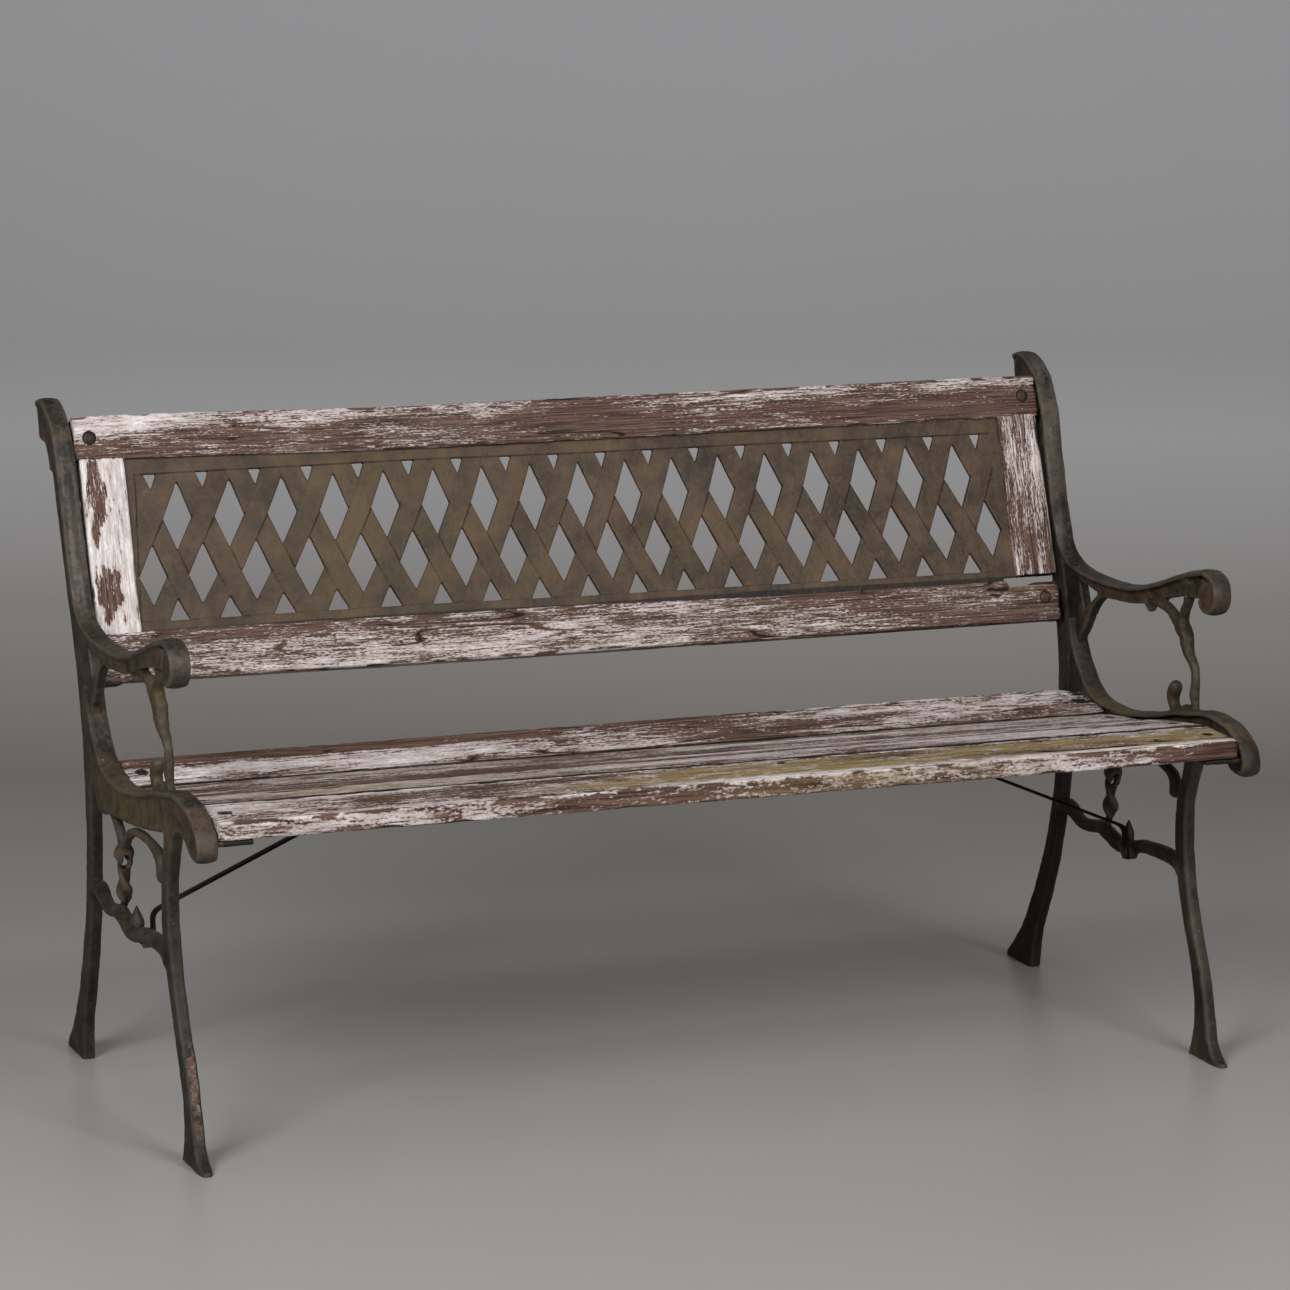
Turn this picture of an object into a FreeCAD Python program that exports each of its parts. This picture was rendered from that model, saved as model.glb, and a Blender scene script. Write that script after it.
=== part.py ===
import FreeCAD, Part
import math
import os
import Sketcher
from FreeCAD import Placement, Rotation, Vector

doc = FreeCAD.newDocument("garden_bench")

# Driving dimensions, in millimetres and degrees
DRIVING = (
    ("bench_length", 1220, "over the ribbons of the two end frames, at the seat"),
    ("seat_height", 362, "floor to the lowest point of the seat ribbon"),
    ("arm_rise", 145, "lowest point of the arm above the seat ribbon"),
    ("ribbon_width", 23, "flange of the casting, across the bench"),
    ("ribbon_depth", 7, "thickness of that flange"),
    ("ribbon_crown", 2, "how far its middle stands above its edges"),
    ("web_thickness", 12, "plate of the casting behind the ribbon"),
    ("web_offset", 2, "middle of that plate, outwards from the middle of the ribbon"),
    ("rim_proud", 2.5, "raised rim along the apron's lower edge, out of the plate"),
    ("eyelet_width", 7, "slot through the knot of the lower stem"),
    ("eyelet_height", 15, "length of that slot"),
    ("leg_thickness", 15, "legs and rear post, across the bench"),
    ("leg_round", 4, "rounding of their long edges"),
    ("frame_lean", 0.9, "outward lean of the end frames, in degrees"),
    ("back_foot_y", 146, "front of the back boards at their lower edge"),
    ("back_rise", 80, "that edge above the seat ribbon"),
    ("back_rake", 19.5, "lean of the back from upright"),
    ("ribbon_proud", 6, "ribbon in front of the back boards"),
    ("post_reach", 33, "rear of the post behind the front of the boards"),
    ("board_thickness", 20, "back rails and stiles"),
    ("board_end_gap", 2, "board ends to the ribbon beside them"),
    ("rail_bottom_height", 55, "bottom back rail"),
    ("rail_top_height", 50, "top back rail"),
    ("panel_opening", 191, "between the two back rails"),
    ("stile_width", 51, "upright boards beside the lattice"),
    ("stile_inset", 0.5, "stiles inside the ends of the bottom rail"),
    ("groove_width", 6, "groove that holds the lattice"),
    ("groove_depth", 8, "depth of that groove"),
    ("panel_thickness", 5, "lattice casting"),
    ("panel_play", 1, "lattice edge to the bottom of the grooves beside and above it"),
    ("panel_border", 12, "border of the lattice that stays in view"),
    ("strap_width", 26, "lattice strap, measured level"),
    ("lattice_start", 4, "lowest crossings of the lattice above the bottom rail"),
    ("lattice_row", 58, "from there up to the next row of crossings"),
    ("lattice_growth", 8, "how much taller each row is than the one below"),
    ("slat_width", 75, "seat slats"),
    ("slat_gap", 7.5, "between seat slats"),
    ("slat_thickness", 21, "seat slats"),
    ("slat_round", 3, "rounding of their top edges"),
    ("slat_front_y", -303, "front edge of the seat"),
    ("slat_front_rise", 22, "top of that edge above the seat ribbon"),
    ("ledge_reach", 52, "seat ledge, inwards from the middle of the web"),
    ("ledge_thickness", 6, "seat ledge"),
    ("lug_radius", 24, "round end of the lugs behind the back rails"),
    ("lug_thickness", 8, "those lugs"),
    ("bolt_inset", 18, "bolt axis to the board end"),
    ("bolt_diameter", 6, "all bolts"),
    ("bolt_clearance", 0.5, "hole round a bolt, all round"),
    ("head_diameter", 13, "round bolt heads"),
    ("head_height", 3, "round bolt heads"),
    ("counterbore_clearance", 1, "recess round a bolt head, all round"),
    ("counterbore_depth", 3, "recess for a bolt head"),
    ("nut_across", 10, "nuts, across flats"),
    ("nut_height", 5, "nuts"),
    ("nut_clearance", 0.3, "nut round its bolt, all round"),
    ("bolt_past_nut", 3, "bolt end beyond its nut"),
    ("stretcher_rise", 0.55, "stretcher between the legs, as a share of the seat height"),
    ("boss_reach", 11, "brace boss, inwards from the middle of the web"),
    ("boss_radius", 9, "brace boss"),
    ("boss_hole", 14, "depth of the tapped hole in the boss"),
    ("brace_width", 12, "flat bar of the braces"),
    ("brace_thickness", 3, "flat bar of the braces"),
    ("brace_bend", 12, "inside radius of its bends"),
    ("brace_top_x", 318, "middle of the bench to the top fixing of a brace"),
    ("brace_tab", 15, "end of a brace beyond its fixing"),
    ("screw_diameter", 4, "screw that holds a brace to a slat"),
    ("screw_length", 14, "in the slat"),
    ("screw_head_diameter", 8, "its head"),
    ("screw_head_height", 2.5, "its head"),
)
sheet = doc.addObject("Spreadsheet::Sheet", "sizes")
for row, (name, value, note) in enumerate(DRIVING, 1):
    sheet.set(f"A{row}", name)
    sheet.set(f"B{row}", str(value))
    sheet.set(f"C{row}", note)
    sheet.setAlias(f"B{row}", name)
doc.recompute()


def size(name):
    """A driving dimension, read from the sheet."""
    return float(sheet.get(name))


# Tilt of each seat slat from the front one to the rear one, in degrees, rising to the rear
SLAT_TILTS = (2.0, -7.0, -10.0, -6.0, 12.0)
# The slat, counted from the front, that carries the braces
BRACED_SLAT = 3
# Whole diamonds in the upper row of the lattice; the lower row has one more
DIAMONDS = 17

X_AXIS = Vector(1, 0, 0)
seat_z = size("seat_height")
rake = math.radians(size("back_rake"))
lean = math.radians(size("frame_lean"))
web_x = (size("bench_length") - size("ribbon_width")) / 2
board_half = web_x - size("ribbon_width") / 2 - size("board_end_gap")
bolt_x = board_half - size("bolt_inset")
back_height = size("rail_bottom_height") + size("panel_opening") + size("rail_top_height")
hole_radius = size("bolt_diameter") / 2 + size("bolt_clearance")


# Points of the end frame's side view, each from its own datum

def back_point(up, front):
    """A point on the back: up along its lean, and in front of the boards' front faces."""
    y = size("back_foot_y") + up * math.sin(rake) - front * math.cos(rake)
    z = seat_z + size("back_rise") + up * math.cos(rake) + front * math.sin(rake)
    return Vector(0, y, z)


def arm_point(y, rise):
    """A point by its height above the lowest part of the arm."""
    return Vector(0, y, seat_z + size("arm_rise") + rise)


def seat_point(y, rise):
    """A point by its height above the lowest part of the seat ribbon."""
    return Vector(0, y, seat_z + rise)


def leg_point(y, share):
    """A point by its height as a share of the seat height."""
    return Vector(0, y, seat_z * share)


def outward(point):
    """How far the leaning frame stands out at a point's height, from its place at the seat ribbon."""
    return math.tan(lean) * (point.z - seat_z)


# Smooth curves in the side view, as chains of tangent arcs

def unit(v):
    return v * (1 / v.Length)


def arc_or_line(start, direction, end):
    """The arc that leaves start along direction and ends at end, or a line where it is straight."""
    chord = end - start
    turn = direction.cross(chord)
    angle = math.atan2(turn.Length, direction.dot(chord))
    if angle < 1e-3:
        return Part.makeLine(start, end)
    side = unit(chord.cross(turn))
    middle = (start + end) * 0.5 + side * (chord.Length / 2 * math.tan(angle / 2))
    return Part.Arc(start, middle, end).toShape()


def smooth(points):
    """Edges of a curve through the points: two tangent arcs between each pair."""
    steps = [b - a for a, b in zip(points, points[1:])]
    inner = [unit(unit(a) * b.Length + unit(b) * a.Length) for a, b in zip(steps, steps[1:])]
    if not inner:
        return [Part.makeLine(*points)]
    first = unit(steps[0]) * (2 * unit(steps[0]).dot(inner[0])) - inner[0]
    last = unit(steps[-1]) * (2 * unit(steps[-1]).dot(inner[-1])) - inner[-1]
    tangents = [first] + inner + [last]
    edges = []
    for a, b, ta, tb in zip(points, points[1:], tangents, tangents[1:]):
        span = b - a
        both = ta + tb
        bend = 2 * (1 - ta.dot(tb))
        if bend < 1e-9:
            reach = span.dot(span) / (4 * span.dot(tb))
        else:
            root = math.sqrt(span.dot(both) ** 2 + bend * span.dot(span))
            reach = (root - span.dot(both)) / bend
        joint = (a + b + (ta - tb) * reach) * 0.5
        edges.append(arc_or_line(a, ta, joint))
        edges.append(arc_or_line(b, tb * -1, joint))
    return edges


def plate(edges, thickness, offset=0.0):
    """A flat plate of the given side outline, its middle so far outwards from the middle of the ribbon."""
    wire = Part.Wire(Part.__sortEdges__(edges))
    face = Part.Face(wire)
    face.translate(Vector(offset - thickness / 2, 0, 0))
    return face.extrude(Vector(thickness, 0, 0))


def web(edges):
    """A plate behind the ribbon, nearer to the outer face of the casting."""
    return plate(edges, size("web_thickness"), size("web_offset"))


def closed(*runs):
    """One closed outline from smooth runs of points, joined by straight edges."""
    edges = []
    for run, following in zip(runs, runs[1:] + runs[:1]):
        edges += smooth(run) if len(run) > 1 else []
        if (following[0] - run[-1]).Length > 1e-6:
            edges.append(Part.makeLine(run[-1], following[0]))
    return edges


def rounded_plate(edges, thickness, radius):
    """A plate whose long edges on both faces are rounded."""
    solid = plate(edges, thickness)
    rims = []
    for edge in solid.Edges:
        middle = edge.CenterOfMass
        on_face = abs(abs(middle.x) - thickness / 2) < 1e-6
        if on_face and edge.Curve.TypeId == "Part::GeomCircle":
            rims.append(edge)
    return solid.makeFillet(radius, rims)


def ribbon(points):
    """The crowned flange, swept with its top along the points."""
    path = Part.Wire(smooth(points))
    first = path.OrderedEdges[0]
    start = first.valueAt(first.FirstParameter)
    ahead = first.tangentAt(first.FirstParameter)
    if (start - points[0]).Length > 1e-6:
        start = first.valueAt(first.LastParameter)
        ahead = first.tangentAt(first.LastParameter) * -1
    outward = ahead.cross(X_AXIS)
    half = X_AXIS * (size("ribbon_width") / 2)
    edge_top = start - outward * size("ribbon_crown")
    under = start - outward * size("ribbon_depth")
    crown = Part.Arc(edge_top - half, start, edge_top + half).toShape()
    sides = Part.makePolygon([edge_top + half, under + half, under - half, edge_top - half])
    profile = Part.Wire([crown] + sides.Edges)
    shell = Part.BRepOffsetAPI.MakePipeShell(path)
    shell.setBiNormalMode(X_AXIS)
    shell.add(profile)
    shell.build()
    shell.makeSolid()
    return shell.shape()


def ring(centre, ahead, radius):
    """A circle across the way ahead, in four arcs that all start from the same side."""
    across = unit(ahead.cross(X_AXIS))
    arcs = []
    for quarter in range(4):
        turns = [math.radians(90 * quarter + step) for step in (0, 45, 90)]
        spots = [centre + (X_AXIS * math.cos(a) + across * math.sin(a)) * radius for a in turns]
        arcs.append(Part.Arc(*spots).toShape())
    return Part.Wire(arcs)


def branch(*stations):
    """A round stem, lofted through (point, radius) stations."""
    points = [p for p, r in stations]
    rings = []
    for i, (point, radius) in enumerate(stations):
        ahead = points[min(i + 1, len(points) - 1)] - points[max(i - 1, 0)]
        rings.append(ring(point, ahead, radius))
    return Part.makeLoft(rings, True, False, False, 3)


def bud(point, radius, height):
    """A round-topped bud that stands up from its point."""
    body = Part.makeCone(radius * 0.8, radius, height, point, Vector(0, 0, 1))
    return body.fuse(Part.makeSphere(radius, point + Vector(0, 0, height)))


# Places of the seat slats: (front edge of the underside, tilt in degrees)

def slat_places():
    places = []
    top = seat_point(size("slat_front_y"), size("slat_front_rise"))
    for i, tilt in enumerate(SLAT_TILTS):
        turn = math.radians(tilt)
        along = Vector(0, math.cos(turn), math.sin(turn))
        upward = Vector(0, -math.sin(turn), math.cos(turn))
        places.append((top - upward * size("slat_thickness"), tilt))
        if i + 1 < len(SLAT_TILTS):
            between = math.radians((tilt + SLAT_TILTS[i + 1]) / 2)
            step = Vector(0, math.cos(between), math.sin(between))
            top = top + along * size("slat_width") + step * size("slat_gap")
    return places


def slat_placement(place, x=0.0, across=0.0, rise=0.0):
    """Placement in a slat's own frame: across it from the front, and up from its underside."""
    corner, tilt = place
    rotation = Rotation(X_AXIS, tilt)
    return Placement(corner + rotation.multVec(Vector(x, across, rise)), rotation)


def back_placement(up, behind=0.0, x=0.0):
    """Placement in the frame of the back boards: up along the lean, and behind their front faces."""
    return Placement(back_point(up, -behind) + X_AXIS * x, Rotation(X_AXIS, -size("back_rake")))


# The brace meets its slat square, and the stretcher with its foot

slats = slat_places()
brace_top = slat_placement(slats[BRACED_SLAT], size("brace_top_x"), size("slat_width") / 2)
brace_lean = math.radians(SLAT_TILTS[BRACED_SLAT])
brace_drop = (brace_top.Base.z - seat_z * size("stretcher_rise")) / math.cos(brace_lean)
brace_foot = brace_top.multVec(Vector(0, 0, -brace_drop))
stretcher_z = brace_foot.z
boss_x = web_x + outward(brace_foot) - size("boss_reach")

# Heights along the back of the middles of the two rails, and of the stiles' feet
rail_middles = (size("rail_bottom_height") / 2, back_height - size("rail_top_height") / 2)
stile_foot = size("rail_bottom_height")


def rail_bolt_x(up):
    """Bolt axis in the rail whose middle is that far up the back."""
    return bolt_x + outward(back_point(up, 0))


# The end frame casting, with the middle of its web at x = 0 and the bench on its -x side.
# The soles are made a little long and cut level once the frame leans.

def upright_and_arm():
    top = back_height
    proud = size("ribbon_proud")
    upright = [back_point(top + 43, -59), back_point(top + 40, -38), back_point(top + 24, -17)]
    upright += [back_point(top + 1, -1), back_point(top - 26, proud), back_point(top / 2 + 50, proud)]
    upright += [back_point(top / 2 - 25, proud)]
    bend = [arm_point(162, 19), arm_point(144, 9), arm_point(117, 3), arm_point(72, 0)]
    rest = [arm_point(32, 0.5), arm_point(-8, 3), arm_point(-48, 10), arm_point(-88, 21)]
    rest += [arm_point(-128, 34), arm_point(-165, 44.5)]
    centre = arm_point(-205, 22)
    scroll = []
    for degrees in range(95, 336, 40):
        radius = 27 - 7 * (degrees - 95) / 240
        turn = math.radians(degrees)
        scroll.append(centre + Vector(0, math.cos(turn), math.sin(turn)) * radius)
    eye = Part.makeCylinder(16, size("ribbon_width") - 4, centre, X_AXIS)
    eye.translate(X_AXIS * (2 - size("ribbon_width") / 2))
    return [ribbon(upright + bend + rest + scroll), eye]


def seat_rail():
    line = [seat_point(131, 86), seat_point(126, 65), seat_point(108, 37), seat_point(75, 9)]
    line += [seat_point(15, 0), seat_point(-65, 9), seat_point(-155, 28), seat_point(-235, 37)]
    line += [seat_point(-284, 26), seat_point(-310, 3), seat_point(-311, -13), seat_point(-297, -21)]
    return [ribbon(line)]


def head():
    top = back_height
    over = [back_point(top - 34, 2), back_point(top - 2, -6), back_point(top + 20, -21)]
    over += [back_point(top + 36, -41), back_point(top + 39, -58)]
    under = [back_point(top, -63), back_point(top - 12, -38)]
    inside = [back_point(top - 44, 2 - size("post_reach"))]
    return [plate(closed(over, under, inside), size("ribbon_width") - 3)]


def rear_post():
    behind = -size("post_reach")
    rear = [back_point(back_height - 30, behind), back_point(back_height / 2, behind), back_point(0, behind)]
    rear += [seat_point(170, 33), leg_point(166, 0.95), leg_point(165, 0.82), leg_point(169, 0.69)]
    rear += [leg_point(178, 0.55), leg_point(194, 0.41), leg_point(217, 0.27), leg_point(247, 0.13)]
    rear += [leg_point(290, 0.012)]
    sole = [leg_point(290, -0.01), leg_point(217, -0.01)]
    front = [leg_point(216, 0.02), leg_point(209, 0.13), leg_point(187, 0.27), leg_point(168, 0.41)]
    front += [leg_point(155, 0.55), leg_point(147, 0.69), leg_point(143, 0.82), leg_point(141, 0.95)]
    front += [seat_point(142, 40), back_point(30, 2), back_point(back_height / 2, 2)]
    front += [back_point(back_height - 30, 2)]
    outline = closed(rear, sole, front)
    return [rounded_plate(outline, size("leg_thickness"), size("leg_round"))]


def front_leg():
    fore = [seat_point(-203, -6), leg_point(-182, 0.885), leg_point(-171, 0.8), leg_point(-170, 0.69)]
    fore += [leg_point(-179, 0.55), leg_point(-197, 0.41), leg_point(-222, 0.27), leg_point(-239, 0.13)]
    fore += [leg_point(-249, 0.05), leg_point(-273, 0.01)]
    sole = [leg_point(-273, -0.01), leg_point(-199, -0.01)]
    aft = [leg_point(-202, 0.03), leg_point(-208, 0.13), leg_point(-196, 0.27), leg_point(-173, 0.41)]
    aft += [leg_point(-154, 0.55), leg_point(-145, 0.69), leg_point(-148, 0.8), leg_point(-158, 0.88)]
    aft += [seat_point(-162, 0)]
    return [rounded_plate(closed(fore, sole, aft), size("leg_thickness"), size("leg_round"))]


def gusset():
    fore = [arm_point(46, -20), arm_point(74, -29), arm_point(94, -48), seat_point(108, 76)]
    fore += [seat_point(121, 58), seat_point(104, 33), seat_point(72, 4)]
    top = [back_point(back_height / 2, -16), arm_point(142, 2), arm_point(72, -4)]
    outline = closed(top, fore, [seat_point(150, -20)], [seat_point(166, 60)])
    hole = Part.makePolygon([arm_point(125, -13), arm_point(74, -21), arm_point(110, -46), arm_point(125, -13)])
    return [web(outline).cut(plate(hole.Edges, size("ribbon_width")))]


def arm_web():
    over = [arm_point(80, -4), arm_point(32, -3.5), arm_point(-48, 6), arm_point(-128, 30), arm_point(-190, 38)]
    under = [arm_point(-178, 14), arm_point(-150, 12), arm_point(-95, 1), arm_point(-36, -15)]
    under += [arm_point(14, -21), arm_point(72, -23)]
    return [web(closed(over, under))]


def apron():
    over = [seat_point(150, 30), seat_point(104, 28), seat_point(72, 4), seat_point(15, -4)]
    over += [seat_point(-65, 5), seat_point(-155, 24), seat_point(-235, 33), seat_point(-281, 22)]
    over += [seat_point(-305, 1), seat_point(-302, -14)]
    nose = [seat_point(-296, -20), seat_point(-268, -19.5), seat_point(-250, -9), seat_point(-234, -2)]
    nose += [seat_point(-216, -5), seat_point(-202, -13)]
    under = [seat_point(-150, -17), seat_point(-104, -25), seat_point(-54, -32), seat_point(-4, -37)]
    under += [seat_point(46, -41), seat_point(97, -47), seat_point(112, -40), seat_point(124, -26)]
    under += [seat_point(148, -17)]
    rim = Vector(size("web_offset") + size("rim_proud"), 0, 4)
    border = branch(*((p + rim, size("web_thickness") / 2) for p in under[:-3]))
    return [web(closed(over, nose, under)), border]


def vine():
    knot = (arm_point(-142, -32), 8.5)
    stem = branch((seat_point(-165, 22), 7), (seat_point(-170, 42), 5.5), (seat_point(-170, 58), 5.5),
                  (seat_point(-164, 82), 5.5), (arm_point(-150, -50), 7.5), knot, (arm_point(-136, -20), 7.5),
                  (arm_point(-141, -4), 6), (arm_point(-147, 12), 7.5), (arm_point(-156, 32), 9))
    arch = branch(knot, (arm_point(-120, -19), 7), (arm_point(-102, -10), 6), (arm_point(-76, -6), 6.5),
                  (arm_point(-54, 4), 7))
    drop = branch((arm_point(-50, -1), 7), (arm_point(-56, -14), 7), (arm_point(-59, -20), 4))
    hook = branch((seat_point(-166, 26), 6), (seat_point(-148, 26), 6.5), (seat_point(-130, 22), 7),
                  (seat_point(-119, 31), 7), (seat_point(-121, 45), 8), (seat_point(-127, 54), 4))
    return [stem, arch, drop, hook]


def stretcher():
    z = stretcher_z
    bar = branch((Vector(0, 158, z + 10), 9.5), (Vector(0, 120, z + 12), 8.5), (Vector(0, 72, z + 8), 8),
                 (Vector(0, 38, z + 9), 9), (Vector(0, 0, z), 9), (Vector(0, -38, z + 6), 8),
                 (Vector(0, -80, z + 13), 8.5), (Vector(0, -115, z + 14), 9), (Vector(0, -160, z + 6), 11))
    neck = branch((Vector(0, 34, z + 8), 8), (Vector(0, 33, z + 30), 6), (Vector(0, 31, z + 45), 8),
                  (Vector(0, 31, z + 58), 6), (Vector(0, 28, z + 74), 9.5), (Vector(0, 27, z + 92), 6.5))
    fork = branch((Vector(0, 27, z + 88), 6), (leg_point(44, 0.845), 5.5), (seat_point(76, -40), 5.5))
    arch = branch((Vector(0, 27, z + 86), 6), (leg_point(10, 0.83), 5.5), (leg_point(-18, 0.868), 5.5),
                  (leg_point(-54, 0.88), 5), (leg_point(-98, 0.873), 5.5), (leg_point(-128, 0.845), 7),
                  (leg_point(-131, 0.80), 7), (leg_point(-129, 0.785), 4))
    half = size("eyelet_width") / 2
    rise = size("eyelet_height") / 2 - half
    run = Vector(0, 40, 0)
    knot = Vector(0, 8, z + 74)
    eyelet = Part.makeBox(2 * half, run.y, 2 * rise, knot - Vector(half, 0, rise))
    for end in (-rise, rise):
        eyelet = eyelet.fuse(Part.makeCylinder(half, run.y, knot + Vector(0, 0, end), run))
    sprout = bud(Vector(0, -18, z + 2), 8, 19)
    return [bar, neck.cut(eyelet), fork, arch, sprout]


def boss():
    """The boss on the stretcher that a brace is bolted to."""
    face = Vector(boss_x - web_x, brace_foot.y, stretcher_z)
    return [Part.makeCylinder(size("boss_radius"), size("boss_reach"), face, X_AXIS)]


def lugs():
    made = []
    reach = web_x - bolt_x
    radius = size("lug_radius")
    for up in rail_middles:
        tongue = Part.makeBox(reach, size("lug_thickness"), 2 * radius, Vector(-reach, 0, -radius))
        end = Part.makeCylinder(radius, size("lug_thickness"), Vector(-reach, 0, 0), Vector(0, 1, 0))
        lug = tongue.fuse(end)
        lug.Placement = back_placement(up, size("board_thickness"), outward(back_point(up, 0)))
        made.append(lug)
    return made


def ledge():
    made = []
    inner = size("ledge_reach")
    thickness = size("ledge_thickness")
    fronts = [slat_placement(place) for place in slats]
    overlap = size("slat_gap")
    for frame in fronts:
        strip = Part.makeBox(inner, size("slat_width") - 2, thickness, Vector(-inner, 1, -thickness))
        strip.Placement = frame
        made.append(strip)
    for here, there in zip(fronts, fronts[1:]):
        a = here.multVec(Vector(0, size("slat_width") - overlap, -thickness))
        b = here.multVec(Vector(0, size("slat_width") - overlap, -0.5))
        c = there.multVec(Vector(0, overlap, -0.5))
        d = there.multVec(Vector(0, overlap, -thickness))
        low = here.multVec(Vector(0, size("slat_width") - 1, -0.5))
        high = there.multVec(Vector(0, 1, -0.5))
        link = Part.Face(Part.makePolygon([a, b, low, high, c, d, a]))
        made.append(link.extrude(X_AXIS * -inner))
    return made


def bolt_holes():
    """Drills for the casting's bolts, in the frame of the casting."""
    drills = []
    depth = 4 * size("lug_thickness")
    for up in rail_middles:
        drill = Part.makeCylinder(hole_radius, depth, Vector(0, -depth / 2, 0), Vector(0, 1, 0))
        drill.Placement = back_placement(up, size("board_thickness"), rail_bolt_x(up) - web_x)
        drills.append(drill)
    for place in slats:
        drill = Part.makeCylinder(hole_radius, depth, Vector(0, 0, -depth / 2), Vector(0, 0, 1))
        drill.Placement = slat_placement(place, bolt_x - web_x, size("slat_width") / 2)
        drills.append(drill)
    foot = Vector(boss_x - web_x, brace_foot.y, stretcher_z)
    drills.append(Part.makeCylinder(hole_radius, size("boss_hole"), foot, X_AXIS))
    return drills


def end_frame():
    """One casting: its side leans outwards, while its seats for the boards and the brace stay square."""
    pieces = rear_post() + front_leg() + head() + gusset() + arm_web() + apron() + upright_and_arm()
    pieces += seat_rail() + vine() + stretcher()
    for piece in pieces:
        piece.rotate(seat_point(0, 0), Vector(0, 1, 0), size("frame_lean"))
    pieces += boss() + lugs() + ledge()
    casting = pieces[0].fuse(pieces[1:])
    reach = size("bench_length")
    below = Part.makeBox(reach, reach, reach, Vector(-reach / 2, -reach / 2, -reach))
    return casting.cut(bolt_holes() + [below])


parts = []


def add(label, shape, placement=Placement()):
    """A sub-part whose shape is made by functions."""
    feature = doc.addObject("Part::Feature", label)
    feature.Label = label
    feature.Shape = shape
    feature.Placement = placement
    parts.append(feature)
    return feature


def body(label, placement):
    """A sub-part built up from sketches."""
    made = doc.addObject("PartDesign::Body", label)
    made.Label = label
    made.Placement = placement
    parts.append(made)
    return made


def sketch(owner, name, role, lift="0"):
    """A sketch on one of the body's own planes, or that far above it."""
    made = owner.newObject("Sketcher::SketchObject", name)
    support = [plane for plane in owner.Origin.OriginFeatures if plane.Role == role]
    made.AttachmentSupport = (support[0], [""])
    made.MapMode = "FlatFace"
    made.setExpression("AttachmentOffset.Base.z", lift)
    return made


def locate(made, geometry, point, across, up):
    """Hold a point of the sketch at two bound distances from the sketch's origin."""
    if across == "0":
        made.addConstraint(Sketcher.Constraint("PointOnObject", geometry, point, -2))
    else:
        place = made.addConstraint(Sketcher.Constraint("DistanceX", -1, 1, geometry, point, 1.0))
        made.setExpression(f"Constraints[{place}]", across)
    if up == "0":
        made.addConstraint(Sketcher.Constraint("PointOnObject", geometry, point, -1))
    else:
        place = made.addConstraint(Sketcher.Constraint("DistanceY", -1, 1, geometry, point, 1.0))
        made.setExpression(f"Constraints[{place}]", up)


def outline(made, corners):
    """A closed polygon with every corner held by bound distances."""
    count = len(corners)
    turns = [2 * math.pi * i / count for i in range(count)]
    guess = [Vector(10 * math.cos(turn), 10 * math.sin(turn), 0) for turn in turns]
    for i in range(count):
        made.addGeometry(Part.LineSegment(guess[i], guess[(i + 1) % count]))
    for i in range(count):
        made.addConstraint(Sketcher.Constraint("Coincident", i, 2, (i + 1) % count, 1))
    for i, (across, up) in enumerate(corners):
        locate(made, i, 1, across, up)
    return made


def rectangle(made, left, low, right, high):
    return outline(made, [(left, low), (right, low), (right, high), (left, high)])


def circles(made, centres, diameter):
    for i, (across, up) in enumerate(centres):
        made.addGeometry(Part.Circle(Vector(10 * i, 10, 0), Vector(0, 0, 1), 1))
        locate(made, i, 3, across, up)
        place = made.addConstraint(Sketcher.Constraint("Diameter", i, 2.0))
        made.setExpression(f"Constraints[{place}]", diameter)
    return made


def pad(owner, profile, length, side="One side", backwards=False):
    made = owner.newObject("PartDesign::Pad", profile.Name + "_pad")
    made.Profile = profile
    made.SideType = side
    made.Reversed = backwards
    made.setExpression("Length", length)
    return made


def pocket(owner, profile, depth=None, side="One side"):
    """A pocket of the given depth, or right through."""
    made = owner.newObject("PartDesign::Pocket", profile.Name + "_pocket")
    made.Profile = profile
    made.SideType = side
    if depth:
        made.setExpression("Length", depth)
    else:
        made.Type = "ThroughAll"
    return made


def repeat(owner, profile, cut, pitch, count):
    """A row of equal cuts along the sketch's level axis."""
    made = owner.newObject("PartDesign::LinearPattern", cut.Name + "_row")
    made.Originals = [cut]
    made.Direction = (profile, ["H_Axis"])
    made.setExpression("Length", f"{count - 1} * {pitch}")
    made.Occurrences = count
    owner.Tip = made
    return made


# Sizes that several boards share, in terms of the sheet
BOARD_HALF = "((sizes.bench_length - 2 * sizes.ribbon_width) / 2 - sizes.board_end_gap)"
HOLE = "(sizes.bolt_diameter + 2 * sizes.bolt_clearance)"
RECESS = "(sizes.head_diameter + 2 * sizes.counterbore_clearance)"
GROOVE_FRONT = "((sizes.board_thickness - sizes.groove_width) / 2)"
GROOVE_REAR = "((sizes.board_thickness + sizes.groove_width) / 2)"
TONGUE_FRONT = "((sizes.board_thickness - sizes.panel_thickness) / 2)"
TONGUE_REAR = "((sizes.board_thickness + sizes.panel_thickness) / 2)"
TONGUE = "(sizes.groove_depth - sizes.panel_play)"


def lean_out(up):
    """How far the frames stand out at a height up the back."""
    return f"(tan(sizes.frame_lean) * (sizes.back_rise + {up} * cos(sizes.back_rake)))"


PANEL_HALF = f"({BOARD_HALF} + {lean_out('sizes.rail_bottom_height')} - sizes.stile_inset - sizes.stile_width)"
BOTTOM_MIDDLE = "(sizes.rail_bottom_height / 2)"
TOP_MIDDLE = "(sizes.rail_bottom_height + sizes.panel_opening + sizes.rail_top_height / 2)"


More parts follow.
